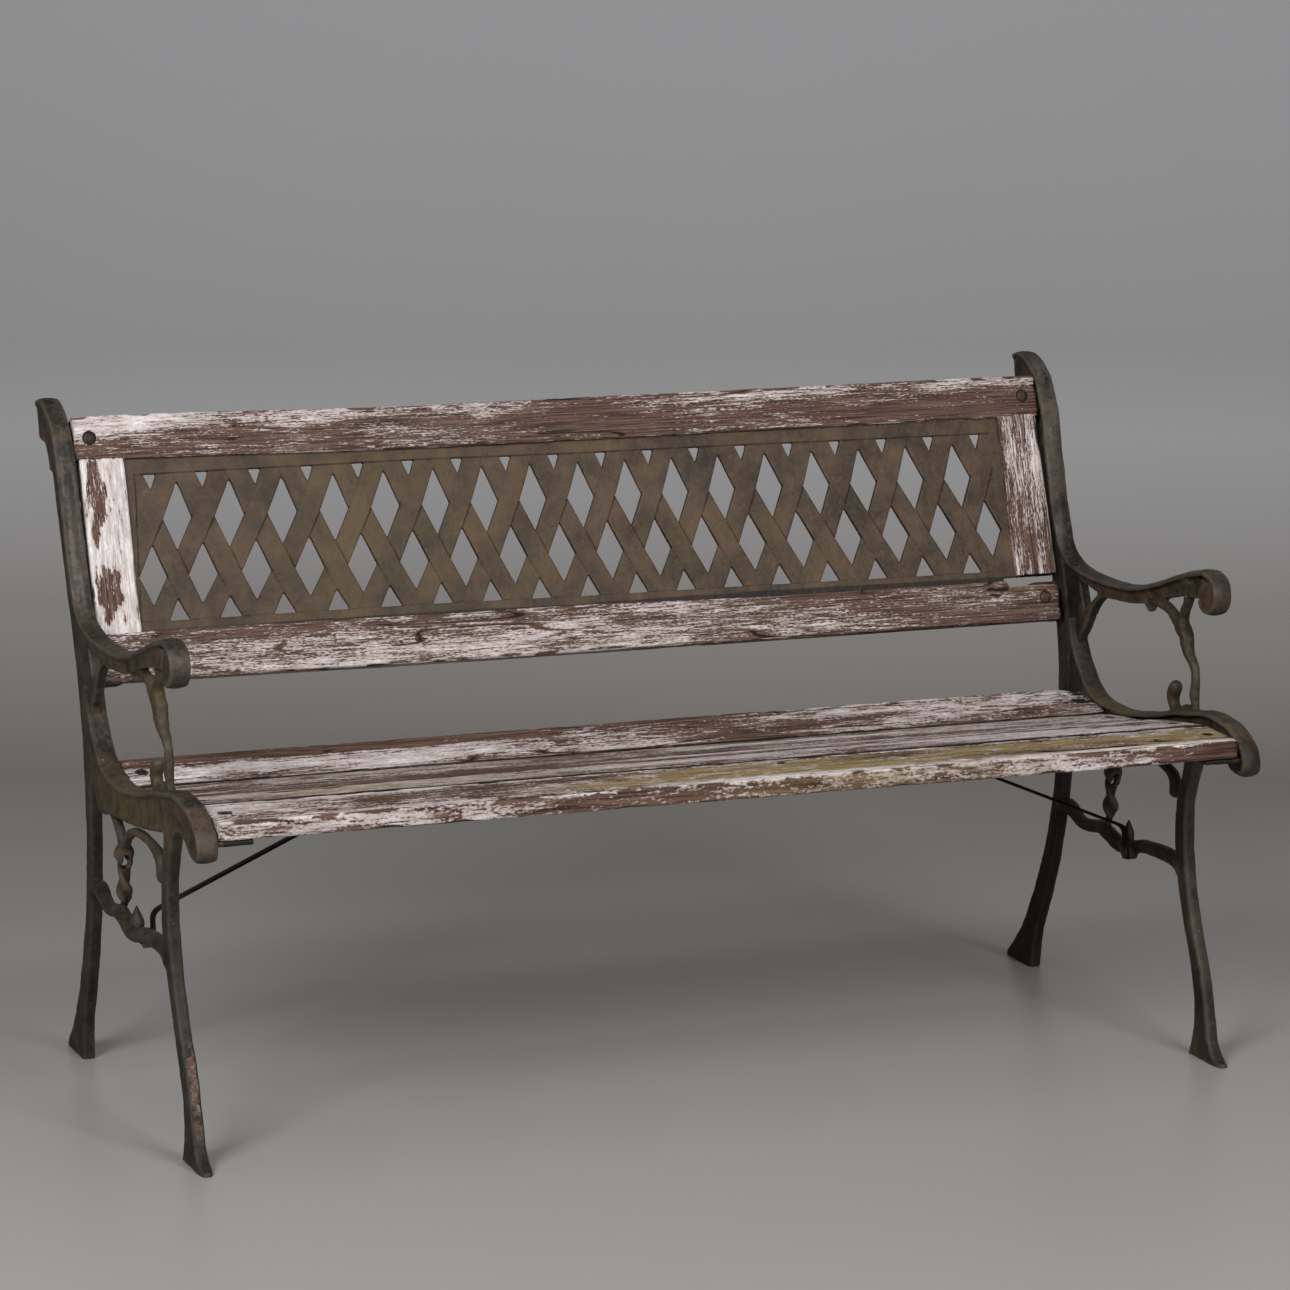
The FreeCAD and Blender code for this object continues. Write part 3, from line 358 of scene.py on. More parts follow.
def patina_group():
    """Weathered cast iron: dark scale, brown sides, ochre lichen, rust, worn edges and pale specks, with
    painted shade and painted sheen.
    """
    inputs = {"Place": None, "Dark": rgb(50, 47, 41), "Light": rgb(80, 76, 68), "Rust": 0.3, "Specks": 0.5,
              "Mottle": 1.0}
    tree, given, result = new_group("iron patina", inputs | dict.fromkeys(IRON_FIELDS, 0.0),
                                    ("Color", "Roughness", "Metallic", "Height"))
    place = given["Place"]
    broad = noise_at(tree, place, 16.0, 6.0, 0.66)
    mottle = noise_at(tree, place, 30.0, 5.0, 0.7)
    spots = noise_at(tree, place, 48.0, 6.0, 0.66)
    fine = noise_at(tree, place, 170.0, 4.0, 0.65)
    speck = noise_at(tree, place, 300.0, 2.0, 0.5)
    brown_scale = blend(tree, between(tree, spots, 0.32, 0.68), *BROWN_SCALE)
    chipped = blend(tree, between(tree, fine, 0.5, 0.6), *CHIPPED)
    black = times(tree, given["Mottle"], between(tree, mottle, 0.5, 0.36))
    bloom = times(tree, given["Mottle"], between(tree, mottle, 0.52, 0.64))
    lichen = times(tree, given["Ochre"], between(tree, spots, 0.28, 0.6))
    rusty = times(tree, given["Rust"], between(tree, spots, 0.6, 0.7))
    # Worn metal, carrying painted sheen on the uprights and the noses as well
    worn = times(tree, given["Wear"], between(tree, fine, 0.2, 0.62))
    flaked = times(tree, given["Chips"], between(tree, spots, 0.44, 0.5))
    pale = times(tree, given["Specks"], between(tree, speck, 0.74, 0.78))
    shown = blend(tree, between(tree, broad, 0.34, 0.66), given["Dark"], given["Light"])
    # Each coat with its mask and how much it covers, from the lowest to the topmost; the hollow coat is
    # painted shade with dirt, the gloom coat painted shade with darker iron, and the worn coat worn metal
    # with painted sheen
    coats = ((given["Brown"], 0.75, brown_scale), (between(tree, fine, 0.42, 0.72), 0.3, GREY_SCALE),
             (black, 0.7, BLACK_SCALE), (bloom, 0.36, RUST_BLOOM), (lichen, 0.85, LICHEN),
             (rusty, 1.0, RUST_SPOT), (given["Hollow"], 0.8, HOLLOW_DIRT),
             (given["Edge"], 0.35, BRIGHT_EDGE), (worn, 1.0, WORN_METAL), (flaked, 1.0, chipped),
             (given["Gloom"], 0.85, DEEP_GLOOM), (pale, 1.0, PALE_SPECK))
    for mask, share, colour in coats:
        shown = blend(tree, times(tree, mask, share), shown, colour)
    tree.links.new(shown, result["Color"])
    rough = maths(tree, "MULTIPLY_ADD", worn, -0.2, maths(tree, "MULTIPLY_ADD", fine, 0.3, 0.42))
    tree.links.new(rough, result["Roughness"])
    tree.links.new(times(tree, worn, 0.5), result["Metallic"])
    height = maths(tree, "MULTIPLY_ADD", fine, 0.7, times(tree, spots, 0.6))
    tree.links.new(height, result["Height"])
    return tree


# Materials

def new_material(name):
    made = bpy.data.materials.new(name)
    made.use_nodes = True
    made.node_tree.nodes.clear()
    shader = made.node_tree.nodes.new("ShaderNodeBsdfPrincipled")
    output = made.node_tree.nodes.new("ShaderNodeOutputMaterial")
    made.node_tree.links.new(shader.outputs["BSDF"], output.inputs["Surface"])
    return made, made.node_tree, shader


def link_fields(tree, group, labels):
    """Feed a group's inputs from the values at the vertices."""
    for label in labels:
        made = add_node(tree, "ShaderNodeAttribute", attribute_name=label.lower())
        tree.links.new(made.outputs["Fac"], group.inputs[label])


def relief(tree, shader, height, strength, distance):
    made = add_node(tree, "ShaderNodeBump", {"Height": height, "Strength": strength, "Distance": distance})
    tree.links.new(made.outputs["Normal"], shader.inputs["Normal"])


def painted_wood(name, group):
    made, tree, shader = new_material(name)
    place = add_node(tree, "ShaderNodeUVMap", uv_map="grain").outputs["UV"]
    paint = add_node(tree, "ShaderNodeGroup", node_tree=group)
    tree.links.new(place, paint.inputs["Place"])
    link_fields(tree, paint, ("Coverage", "Moss", "Bare", "Grey", "Grime"))
    tree.links.new(paint.outputs["Color"], shader.inputs["Base Color"])
    tree.links.new(paint.outputs["Roughness"], shader.inputs["Roughness"])
    shader.inputs["Specular IOR Level"].default_value = 0.3
    relief(tree, shader, paint.outputs["Height"], 0.8, 0.0009)
    return made


def cast_iron(name, group, dark, light, rust, specks, masked=True, gloom=0.0, mottle=1.0, shine=0.25):
    made, tree, shader = new_material(name)
    place = add_node(tree, "ShaderNodeTexCoord").outputs["Object"]
    patina = add_node(tree, "ShaderNodeGroup", node_tree=group)
    tree.links.new(place, patina.inputs["Place"])
    values = {"Dark": dark, "Light": light, "Rust": rust, "Specks": specks, "Gloom": gloom, "Mottle": mottle}
    for label, value in values.items():
        patina.inputs[label].default_value = value
    if masked:
        link_fields(tree, patina, IRON_FIELDS)
    tree.links.new(patina.outputs["Color"], shader.inputs["Base Color"])
    tree.links.new(patina.outputs["Roughness"], shader.inputs["Roughness"])
    tree.links.new(patina.outputs["Metallic"], shader.inputs["Metallic"])
    shader.inputs["Specular IOR Level"].default_value = shine
    relief(tree, shader, patina.outputs["Height"], 0.5, 0.0008)
    return made


paint_group = flaked_paint_group()
iron_group = patina_group()
back_paint = painted_wood("painted back boards", paint_group)
seat_paint = painted_wood("painted seat slats", paint_group)
frame_iron = cast_iron("end frame iron", iron_group, rgb(26, 23, 18), rgb(58, 50, 39), rust=0.35, specks=0.4)
lattice_iron = cast_iron("lattice iron", iron_group, rgb(48, 38, 29), rgb(83, 64, 46), rust=0.3, specks=0.15,
                         mottle=0.25)
# The braces under the seat: dark iron, darkened further with painted shade
brace_iron = cast_iron("brace iron", iron_group, rgb(16, 15, 13), rgb(30, 27, 24), rust=0.1, specks=0.0,
                       masked=False, gloom=0.8, shine=0.08)
dark_bolt = cast_iron("dark bolts", iron_group, rgb(14, 11, 9), rgb(32, 24, 18), rust=0.1, specks=0.0,
                      masked=False, gloom=0.6)
bolt_iron = cast_iron("rusty bolts", iron_group, rgb(36, 26, 21), rgb(66, 44, 33), rust=0.5, specks=0.1,
                      masked=False)


# The end frames

LEFT, RIGHT = -1, 1
FRAME_VOXEL = 0.0016
FRAME_SMOOTHING = 3
FORM_PASSES = 14

# Height of the sand marks, of the finest ones and of the unevenness of the stems
SAND_HEIGHT = 0.0004
FINE_SAND_HEIGHT = 0.00012
STEM_HEIGHT = 0.0011

# The lean of the frames, taken about the seat's height, and the middle of the webs there
LEAN = math.tan(math.radians(0.9))
SEAT_Z = 0.362
WEB_X = 0.5985

# The ledge under the slats, which is given painted shade, lies inside this x and in front of this y
LEDGE_X = 0.579
LEDGE_Y = 0.12

# Tips of the feet along y with the way they point
TOES = ((-0.2742, -1), (0.2888, 1))
TOE_ROUND = 0.013
TOE_TOP = 0.05
TOE_NARROW = 0.8
FOOT_X = 0.5928

# The sprout on the stretcher that ends in a leaf
LEAF_X = 0.5963
LEAF_Y = -0.0192
LEAF_Z = 0.213
LEAF_TOP = 0.24
LEAF_HALF = 0.011
LEAF_LENGTH = 0.015
LEAF_TAPER = 0.7
LEAF_GROWTH = 0.005

# The knotted stem below the apron, and the height after which its twist repeats
NECK_Y = 0.029
TWIST_PITCH = 0.026
TWIST_DEPTH = 0.0016

# Regions of an end frame from the side: middle and half width along y, then along z
REGIONS = {
    "apron": (-0.05, 0.21, 0.345, 0.05),
    "vine": (-0.14, 0.08, 0.46, 0.12),
    "low vine": (-0.02, 0.16, 0.25, 0.1),
    "neck": (NECK_Y, 0.016, 0.25, 0.045),
    "scroll": (-0.232, 0.03, 0.535, 0.04),
    "nose": (-0.305, 0.035, 0.365, 0.045),
    "seat": (0.0, 0.26, 0.385, 0.04),
}

# How dark the regions lie, in painted shade with darker iron, how brown the curls are, and how worn the nose
# is with painted sheen, on each side of the bench
GLOOM = {
    LEFT: {"post": 0.2, "rear leg": 0.4, "front leg": 0.36, "vine": 0.35, "nose": 0.3},
    RIGHT: {"post": 0.6, "seat": 0.5, "nose": 0.75, "scroll": 0.45, "vine": 0.75, "rear leg": 0.6,
            "front leg": 0.25},
}
CURL_BROWN = {LEFT: 0.35, RIGHT: 0.85}
NOSE_WEAR = {LEFT: 0.2, RIGHT: 0.05}


def frame_regions(points):
    """For each region of an end frame, 1 in its middle and 0 outside it."""
    y, z = points[:, 1], points[:, 2]
    inside = {}
    for name, (y_middle, y_half, z_middle, z_half) in REGIONS.items():
        inside[name] = bump_at(y, y_middle, y_half) * bump_at(z, z_middle, z_half)
    inside["post"] = ramp(y, 0.1, 0.13) * ramp(z, 0.6, 0.5) * ramp(z, 0.3, 0.36)
    inside["rear leg"] = ramp(y, 0.1, 0.14) * ramp(z, 0.36, 0.3)
    inside["front leg"] = ramp(y, -0.1, -0.14) * ramp(z, 0.3, 0.25)
    return inside


def uneven_skin(points, inside, side):
    """How far the skin swells: sand marks, uneven stems and the twist of the knotted one."""
    x, y, z = points.T
    swell = rough_skin(points, 60, SAND_HEIGHT, 3) + rough_skin(points, 260, FINE_SAND_HEIGHT, 7, 2)
    stems = np.clip(inside["vine"] + inside["low vine"], 0, 1)
    swell = swell + rough_skin(points, 85, STEM_HEIGHT, 17) * stems
    middle = side * (WEB_X + LEAN * (z - SEAT_Z))
    turn = np.arctan2(y - NECK_Y, x - middle)
    twist = np.cos(2 * turn + z * 2 * math.pi / TWIST_PITCH) * TWIST_DEPTH
    return swell + twist * ramp(inside["neck"], 0.05, 0.3)


def round_toes(points, side):
    """Narrow the feet towards their tips."""
    for tip, way in TOES:
        share = np.clip((way * (points[:, 1] - tip) + TOE_ROUND) / TOE_ROUND, 0, 1)
        share = share * (points[:, 2] < TOE_TOP)
        narrow = np.sqrt(1 - TOE_NARROW * share * share)
        points[:, 0] = side * FOOT_X + (points[:, 0] - side * FOOT_X) * narrow


def point_leaf(points, side):
    """Draw the sprout out to the point of a leaf."""
    x, y, z = points.T
    near = (np.abs(y - LEAF_Y) < LEAF_HALF) * (np.abs(np.abs(x) - LEAF_X) < LEAF_HALF)
    tip = near * ramp(z, LEAF_Z, LEAF_Z + LEAF_LENGTH) * (z < LEAF_TOP)
    x -= (x - side * LEAF_X) * tip * LEAF_TAPER
    y -= (y - LEAF_Y) * tip * LEAF_TAPER
    z += tip * LEAF_GROWTH


def frame_looks(plain, inside, points, normals, hollow, side):
    """Values for the patina, with painted shade and painted sheen, from the plain frame, its regions and the
    finished skin.
    """
    y, z = plain[:, 1], plain[:, 2]
    hollow = hollow * (1 - 0.6 * ramp(z, 0.44, 0.48))
    # Painted shade on the ledge under the slats and below the seat, deeper behind the front on the right
    # frame, and in the hollows
    ledge = (np.abs(points[:, 0]) < LEDGE_X) * ramp(z, 0.3, 0.32) * ramp(z, 0.4, 0.38) * (y < LEDGE_Y)
    shaded = 0.3 + (side == RIGHT) * 0.55 * ramp(y, -0.16, -0.13)
    under_seat = ramp(z, 0.36, 0.3) * shaded
    ochre = inside["apron"] * 1.3 + inside["vine"] + inside["low vine"] * 0.3
    flat_sides = ramp(np.abs(normals[:, 0]), 0.6, 0.95) * ramp(z, 0.1, 0.3)
    curls = np.clip(inside["scroll"] + inside["nose"], 0, 1) * CURL_BROWN[side]
    # Painted shade with darker iron, by region, deepest on the right frame under the seat
    gloom = sum(inside[name] * share for name, share in GLOOM[side].items())
    # Painted sheen: light streaks down the fronts of the uprights, laid with the wear of the scroll and the
    # nose on faces turned to the front
    streaks = ramp(fractal(points * np.array((160, 30, 12)), 19), -0.3, 0.5)
    upright = ramp(z, 0.42, 0.52) * ramp(y, 0.08, 0.14) * streaks
    wear = inside["scroll"] * 0.25 + inside["nose"] * NOSE_WEAR[side] + upright * 0.6
    front_strip = ramp(-normals[:, 1], 0.75, 0.95) * ramp(normals[:, 0], -0.4, 0.1) * (y < -0.1)
    return {
        "hollow": np.maximum.reduce([hollow, ledge, under_seat, inside["low vine"] * 0.4]),
        "ochre": np.clip(ochre, 0, 1),
        "brown": np.maximum(flat_sides * (1 - inside["post"] * 0.8), curls),
        "gloom": np.clip(np.maximum(gloom, ledge), 0, 1),
        "wear": np.clip(wear, 0, 1) * ramp(-normals[:, 1], 0.1, 0.7),
        "chips": (side == LEFT) * front_strip * ramp(z, 0.02, 0.05) * ramp(z, 0.135, 0.12),
    }


def cast_end(node, side):
    """An end frame with the soft, slightly uneven skin of a sand casting."""
    mesh = soft_copy(node, FRAME_VOXEL, FRAME_SMOOTHING)
    plain = vertex_array(mesh)
    normals = vertex_array(mesh, "normal")
    inside = frame_regions(plain)
    points = plain + normals * uneven_skin(plain, inside, side)[:, None]
    round_toes(points, side)
    point_leaf(points, side)
    set_vertices(mesh, points)
    edge, hollow = surface_form(mesh, FORM_PASSES)
    set_fields(mesh, edge=edge, **frame_looks(plain, inside, points, normals, hollow, side))
    show(mesh, node + "_cast", frame_iron, "iron", node)


cast_end("end_frame_left", LEFT)
cast_end("end_frame_right", RIGHT)


# Straight boards

# The direction that the boards of the back show their faces to, and that of the seat
BACK_FACING = (0, -1, 0.2)
SEAT_FACING = (0, 0, 1)

# Bolts: their distance from a board's ends, the recesses round them and the closer sections there
BOLT_INSET = 0.018
RECESS_RADIUS = 0.0075
RECESS_DEPTH = 0.0031
RECESS_SLOPE = 0.0004
BOLT_REACH = 0.0095
BOLT_STEP = 0.0007
BOLT_CLEAR = 0.01

# Radius of a board's long edges, and the steps of its mesh round it and along it
EDGE_RADIUS = 0.0022
RING_STEP = 0.0013
STATION_STEP = 0.0035

# Added to a board's seed for each kind of wear
CRACK_SEED, CRACK_RUN_SEED, CHIP_SEED, END_SEED = 50, 60, 70, 80

# Each seed moves a board's paint this far across the grain, so that no two boards look alike
GRAIN_SHIFT = 0.731

# How far each kind of wear moves the skin of a board
GRAIN_HEIGHT = 0.00028
CRACK_DEPTH = 0.0011
CHIP_DEPTH = 0.0022
END_DEPTH = 0.0006
END_RAGGED = 0.0022


def board_axes(node, facing, upright=False):
    """Corner of a board, its axes (along, across, out of its show face) and its size along them."""
    mesh = nodes[node].data
    areas = np.array([face.area for face in mesh.polygons])
    normals = np.array([face.normal for face in mesh.polygons])
    seen = normals @ np.array(facing) > 0.7
    out = Vector(normals[seen][np.argmax(areas[seen])]).normalized()
    level = Vector((1, 0, 0))
    rise = out.cross(level)
    along, across = (rise, -level) if upright else (level, rise)
    points = vertex_array(mesh)
    lows = [float((points @ np.array(axis)).min()) for axis in (along, across, out)]
    highs = [float((points @ np.array(axis)).max()) for axis in (along, across, out)]
    corner = along * lows[0] + across * lows[1] + out * lows[2]
    return corner, (along, across, out), [high - low for low, high in zip(lows, highs)]


def outline_ring(width, thickness, radius, step):
    """Points round a board's section with their outward directions, from the show face's low edge on."""
    places, outward = [], []
    half_size = np.array((width, thickness)) / 2
    corners = ((1, 1), (1, -1), (-1, -1), (-1, 1))
    starts = ((-1, 1), (1, 1), (1, -1), (-1, -1))
    normals = ((0, 1), (1, 0), (0, -1), (-1, 0))
    for start, corner, normal in zip(starts, corners, normals):
        a = half_size * start
        b = half_size * corner
        run = (b - a) / np.linalg.norm(b - a)
        length = np.linalg.norm(b - a) - 2 * radius
        count = max(2, int(round(length / step)))
        for i in range(count + 1):
            places.append(a + run * (radius + length * i / count))
            outward.append(normal)
        turn = np.array(normal)
        centre = b - run * radius - turn * radius
        for angle in (math.radians(30), math.radians(60)):
            way = turn * math.cos(angle) + run * math.sin(angle)
            places.append(centre + way * radius)
            outward.append(tuple(way))
    return np.array(places) + half_size, np.array(outward)


def board_stations(length, bolted):
    """Places along a board where its section is set, closer together at the bolts."""
    stations = np.linspace(0, length, max(8, int(length / STATION_STEP)))
    if bolted:
        close = np.arange(BOLT_INSET - BOLT_REACH, BOLT_INSET + BOLT_REACH, BOLT_STEP)
        from_end = np.minimum(stations, length - stations)
        kept = stations[np.abs(from_end - BOLT_INSET) > BOLT_CLEAR]
        stations = np.sort(np.concatenate([kept, close, length - close]))
    return stations


def ring_mesh(name, points, count, turns):
    """A closed mesh over rings of points, one after the other along a board."""
    index = np.arange(count * turns).reshape(count, turns)
    after = np.roll(index, -1, axis=1)
    quads = np.stack([index[:-1], after[:-1], after[1:], index[1:]], -1).reshape(-1, 4)
    mesh = bpy.data.meshes.new(name)
    mesh.from_pydata(points.tolist(), [], quads.tolist() + [index[0].tolist()[::-1], index[-1].tolist()])
    mesh.update()
    smooth_shade(mesh)
    return mesh


def lay_grain(mesh, along, across):
    """The map of a board's surface that its paint follows."""
    layer = mesh.uv_layers.new(name="grain")
    corners = np.empty(len(mesh.loops), dtype=np.int64)
    mesh.loops.foreach_get("vertex_index", corners)
    place = np.stack([along, across], 1)[corners]
    layer.data.foreach_set("uv", place.astype(np.float32).ravel())


def weathered_board(node, facing, material, slot, seed, looks, upright=False, shape=None, spread=1.0,
                    dirty_sides=(0.0, 0.0)):
    """A board with raised grain, cracks and chipped edges; looks gives its paint, moss and greyness."""
    corner, axes, (length, width, thickness) = board_axes(node, facing, upright)
    along, across, out = (np.array(axis) for axis in axes)
    ring, outward = outline_ring(width, thickness, EDGE_RADIUS, RING_STEP)
    stations = board_stations(length, not upright)
    count, turns = len(stations), len(ring)
    # Each point's place along the board, across it and out of it, and round its section
    x = np.repeat(stations, turns)
    w = np.tile(ring[:, 0], count)
    h = np.tile(ring[:, 1], count)
    steps = np.linalg.norm(np.diff(ring, axis=0), axis=1)
    s = np.tile(np.concatenate([[0], np.cumsum(steps)]), count)
    normal = np.tile(outward, (count, 1))
    # Raised grain, cracks, chips and worn ends, with their waves to the metre along the board and round it
    grain = fractal(columns(x * 11, s * 330, seed * 3.7), seed)
    crack = value_noise(columns(x * 7, s * 130, seed * 1.3), seed + CRACK_SEED)
    crack_run = value_noise(columns(x * 5, s * 40, 0), seed + CRACK_RUN_SEED)
    cracked = bump_at(crack, 0.0, 0.07) * ramp(crack_run, 0.0, 0.5)
    edge = np.minimum(w, width - w) + np.minimum(h, thickness - h)
    chip = ramp(fractal(columns(x * 38, s * 60, seed * 2.1), seed + CHIP_SEED), 0.15, 0.8)
    chip = chip * ramp(edge, 0.005, 0.0)
    worn_end = ramp(np.minimum(x, length - x), 0.012, 0.0)
    proud = grain * GRAIN_HEIGHT - cracked * CRACK_DEPTH - chip * CHIP_DEPTH - worn_end * END_DEPTH
    w = w + normal[:, 0] * proud
    h = h + normal[:, 1] * proud
    ragged = np.abs(worn_end * fractal(columns(seed, s * 240, 0), seed + END_SEED) * END_RAGGED)
    x = x + np.where(x < length / 2, ragged, -ragged)
    bare = dark = sunk = np.zeros(len(x))
    if not upright:
        off = np.hypot(np.minimum(x, length - x) - BOLT_INSET, w - width / 2)
        sunk = ramp(off, RECESS_RADIUS + RECESS_SLOPE, RECESS_RADIUS - RECESS_SLOPE) * (h > thickness / 2)
        h = h - sunk * RECESS_DEPTH
    if shape:
        x, w, h, bare, dark = shape(x, w, h, length, width, thickness)
    points = np.array(corner) + x[:, None] * along + w[:, None] * across + h[:, None] * out
    mesh = ring_mesh(node + "_board", points, count, turns)
    lay_grain(mesh, x, s * spread + seed * GRAIN_SHIFT)
    band = w / width
    coverage, moss, grey = looks(x / length, band, h / thickness, columns(x, s, seed))
    coverage = coverage - cracked * 0.3 - chip * 0.25 - sunk * 0.5
    # Painted shade along the long sides of the slats below their tops, in the gaps between them, and dirt
    # with painted shade in cracks, bolt recesses and broken ends
    low_side = ramp(band, 0.03, 0.018) * dirty_sides[0]
    high_side = ramp(band, 0.97, 0.982) * dirty_sides[1]
    below_top = ramp(h / thickness, 1.0, 0.96)
    grime = np.maximum.reduce([np.maximum(low_side, high_side) * below_top, cracked * 0.7, sunk, dark])
    set_fields(mesh, coverage=coverage, moss=moss, grey=grey, bare=bare, grime=np.clip(grime, 0, 1))
    show(mesh, node + "_weathered", material, slot, node)


# Looks of the boards: paint coverage, moss and greyness, from shares of length, width and thickness

def patches(place, along, across, seed):
    """Patches with so many waves to the metre along a board and round it."""
    return fractal(place * np.array((along, across, 1)), seed)


def top_rail_looks(share, band, depth, place):
    broad = patches(place, 5, 30, 11)
    whiter = ramp(band, 0.72, 0.95) * 0.05 + ramp(share, 0.5, 0.0) * 0.03 + ramp(band, 0.2, 0.0) * 0.03
    brown = bump_at(band, 0.35, 0.3) * 0.03
    return 0.47 + broad * 0.03 + whiter - brown + ramp(share, 0.6, 0.9) * 0.012, 0.0, 0.15


def bottom_rail_looks(share, band, depth, place):
    broad = patches(place, 4, 24, 12)
    whiter = bump_at(share, 0.35, 0.62) * 0.054 + ramp(band, 0.15, 0.0) * 0.05
    brown = bump_at(share, 0.74, 0.17) * ramp(band, 0.5, 0.75) * 0.03
    return 0.46 + broad * 0.035 + whiter - brown - ramp(share, 0.75, 0.95) * 0.005, 0.0, 0.2


def left_stile_looks(share, band, depth, place):
    patch = patches(place, 40, 130, 13)
    places = np.maximum(bump_at(share, 0.8, 0.34), bump_at(share, 0.27, 0.24) * 0.9)
    brown = ramp(places * bump_at(band, 0.66, 0.4) + patch * 0.42, 0.3, 0.5)
    return 0.612 - brown * 0.14, 0.0, 0.1


def right_stile_looks(share, band, depth, place):
    broad = patches(place, 6, 60, 14)
    return 0.505 + broad * 0.05 - ramp(band, 0.85, 1.0) * 0.03, 0.0, 0.1


def edge_dirt(band):
    """Paint lost along both long edges of a slat."""
    return ramp(np.minimum(band, 1 - band), 0.07, 0.01) * 0.05


def front_slat_looks(share, band, depth, place):
    broad = patches(place, 5, 40, 21)
    on_top = ramp(depth, 0.8, 0.97)
    far = ramp(share + broad * 0.1, 0.2, 0.45)
    mossy = ramp(np.abs(band - 0.5), 0.42, 0.28) * ramp(broad, -0.9, 0.0) * on_top
    below = ramp(band, 0.1, 0.02) * (1 - on_top) * bump_at(share, 0.62, 0.26) * 0.4
    white = (bump_at(band, 0.08, 0.16) * 0.07 + ramp(band, 0.86, 0.96) * 0.06) * on_top
    face = (1 - on_top) * ramp(share, 0.5, 0.9) * 0.04
    return 0.515 + broad * 0.05 + white - face, mossy * far + below, 0.1


def second_slat_looks(share, band, depth, place):
    broad = patches(place, 5, 50, 22)
    mossy = ramp(share, 0.55, 0.1) * ramp(broad, -0.3, 0.4) * 0.6
    return 0.54 + broad * 0.07 - edge_dirt(band), mossy, 0.3


def middle_slat_looks(share, band, depth, place):
    broad = patches(place, 5, 60, 23)
    worn = bump_at(share, 0.3, 0.16) * 0.1
    return 0.52 + broad * 0.07 - worn - edge_dirt(band), 0.0, 0.4 - worn * 3


def fourth_slat_looks(share, band, depth, place):
    broad = patches(place, 4, 50, 24)
    mossy = ramp(band, 0.6, 0.95) * ramp(broad, -0.5, 0.4) * 0.6
    return 0.52 + broad * 0.06 - edge_dirt(band), mossy, 0.7


def rear_slat_looks(share, band, depth, place):
    broad = patches(place, 7, 40, 25)
    brown = ramp(band + broad * 0.3, 0.74, 0.95) * ramp(share, 0.75, 0.5)
    mixed = bump_at(share, 0.6, 0.3) * 0.03
    return 0.53 + broad * 0.07 - brown * 0.13 - mixed, ramp(band, 0.12, 0.0) * 0.2, 0.1


# Shapes of single boards: moved points, and masks for bare wood and for painted shade in gaps, cracks and
# torn ends

# How far the boards of the back stand above their built places: everywhere, and more at the left end
TOP_RISE, TOP_RISE_LEFT = 0.0035, 0.0065
BOTTOM_RISE, BOTTOM_RISE_LEFT = 0.0025, 0.0025
STILE_RISE = 0.0045

# The bottom rail's broken end: its length, its depth in front and how much deeper it is at the rear
BREAK_LENGTH = 0.068
BREAK_DEPTH = 0.0135
BREAK_SLOPE = 0.006
BREAK_RAGGED = 0.0018

# How far the rail's top is worn down beside the break, and its two cracks: how far below the top, how deep
WORN_DEPTH = 0.0055
UPPER_CRACK = 0.015
LOWER_CRACK = 0.022
GAP_DEPTH = 0.0015
GAP_WANDER = 0.001

# How far the right stile stops short, and how uneven its end is
FOOT_SHORT = 0.0095
FOOT_RAGGED = 0.0015

# The split in the last slat: where it starts and is whole, from the corner, and how far its fibres are moved
SPLIT_START = 0.034
SPLIT_WHOLE = 0.008
SPLIT_DEPTH = 0.005
SPLIT_RAGGED = 0.004
SPLIT_SPREAD = 0.006


def top_rise(x):
    """The top rail stands a little high, most at its left end."""
    return TOP_RISE + TOP_RISE_LEFT * ramp(x, 0.45, 0.0)


def bottom_rise(x):
    """The bottom rail stands a little high, most at its left end."""
    return BOTTOM_RISE + BOTTOM_RISE_LEFT * ramp(x, 0.5, 0.0)


def raised_rail(x, w, h, length, width, thickness):
    whole = np.zeros(len(x))
    return x, w + top_rise(x), h, whole, whole


def raised_stile(x, w, h, length, width, thickness):
    whole = np.zeros(len(x))
    return x + STILE_RISE, w, h, whole, whole


def broken_lip(x, w, h, length, width, thickness):
    """The top of the bottom rail is worn down to the right and broken away at the end, beyond two cracks."""
    start = length - BREAK_LENGTH
    ragged = fractal(columns(x * 34, h * 150, 0), 91, 2)
    gone = ramp(x, start, start + 0.004)
    worn = WORN_DEPTH * ramp(x, 0.5, 0.85)
    depth = BREAK_DEPTH + BREAK_SLOPE * (1 - h / thickness) + ragged * BREAK_RAGGED
    limit = width - np.maximum(worn, gone * depth)
    broken = gone * ramp(w, limit - 0.006, limit - 0.001)
    w = np.minimum(w, limit)
    below_top = width - w + fractal(columns(x * 60, 0, 0), 93) * GAP_WANDER
    upper = ramp(np.abs(below_top - UPPER_CRACK), 0.0026, 0.001)
    upper = upper * ramp(x, start - 0.03, start - 0.022) * (1 - gone)
    lower = ramp(np.abs(below_top - LOWER_CRACK), 0.0022, 0.0008) * bump_at(x, start - 0.015, 0.016)
    crack = np.maximum(upper, lower) * (h > thickness / 2)
    # Painted shade in the cracks and in parts of the broken face
    dark = np.maximum(crack, broken * ramp(ragged, 0.15, 0.4))
    return x, w + bottom_rise(x), h - crack * GAP_DEPTH, broken * 0.85, np.clip(dark, 0, 1)


def short_foot(x, w, h, length, width, thickness):
    """The right stile stops short of the broken rail."""
    ragged = fractal(columns(w * 300, h * 200, 0), 95)
    foot = FOOT_SHORT + np.abs(ragged) * FOOT_RAGGED
    # The stile's end is darkened with painted shade
    return np.maximum(x, foot), w, h, np.zeros(len(x)), ramp(x, 0.003, 0.0) * 0.9


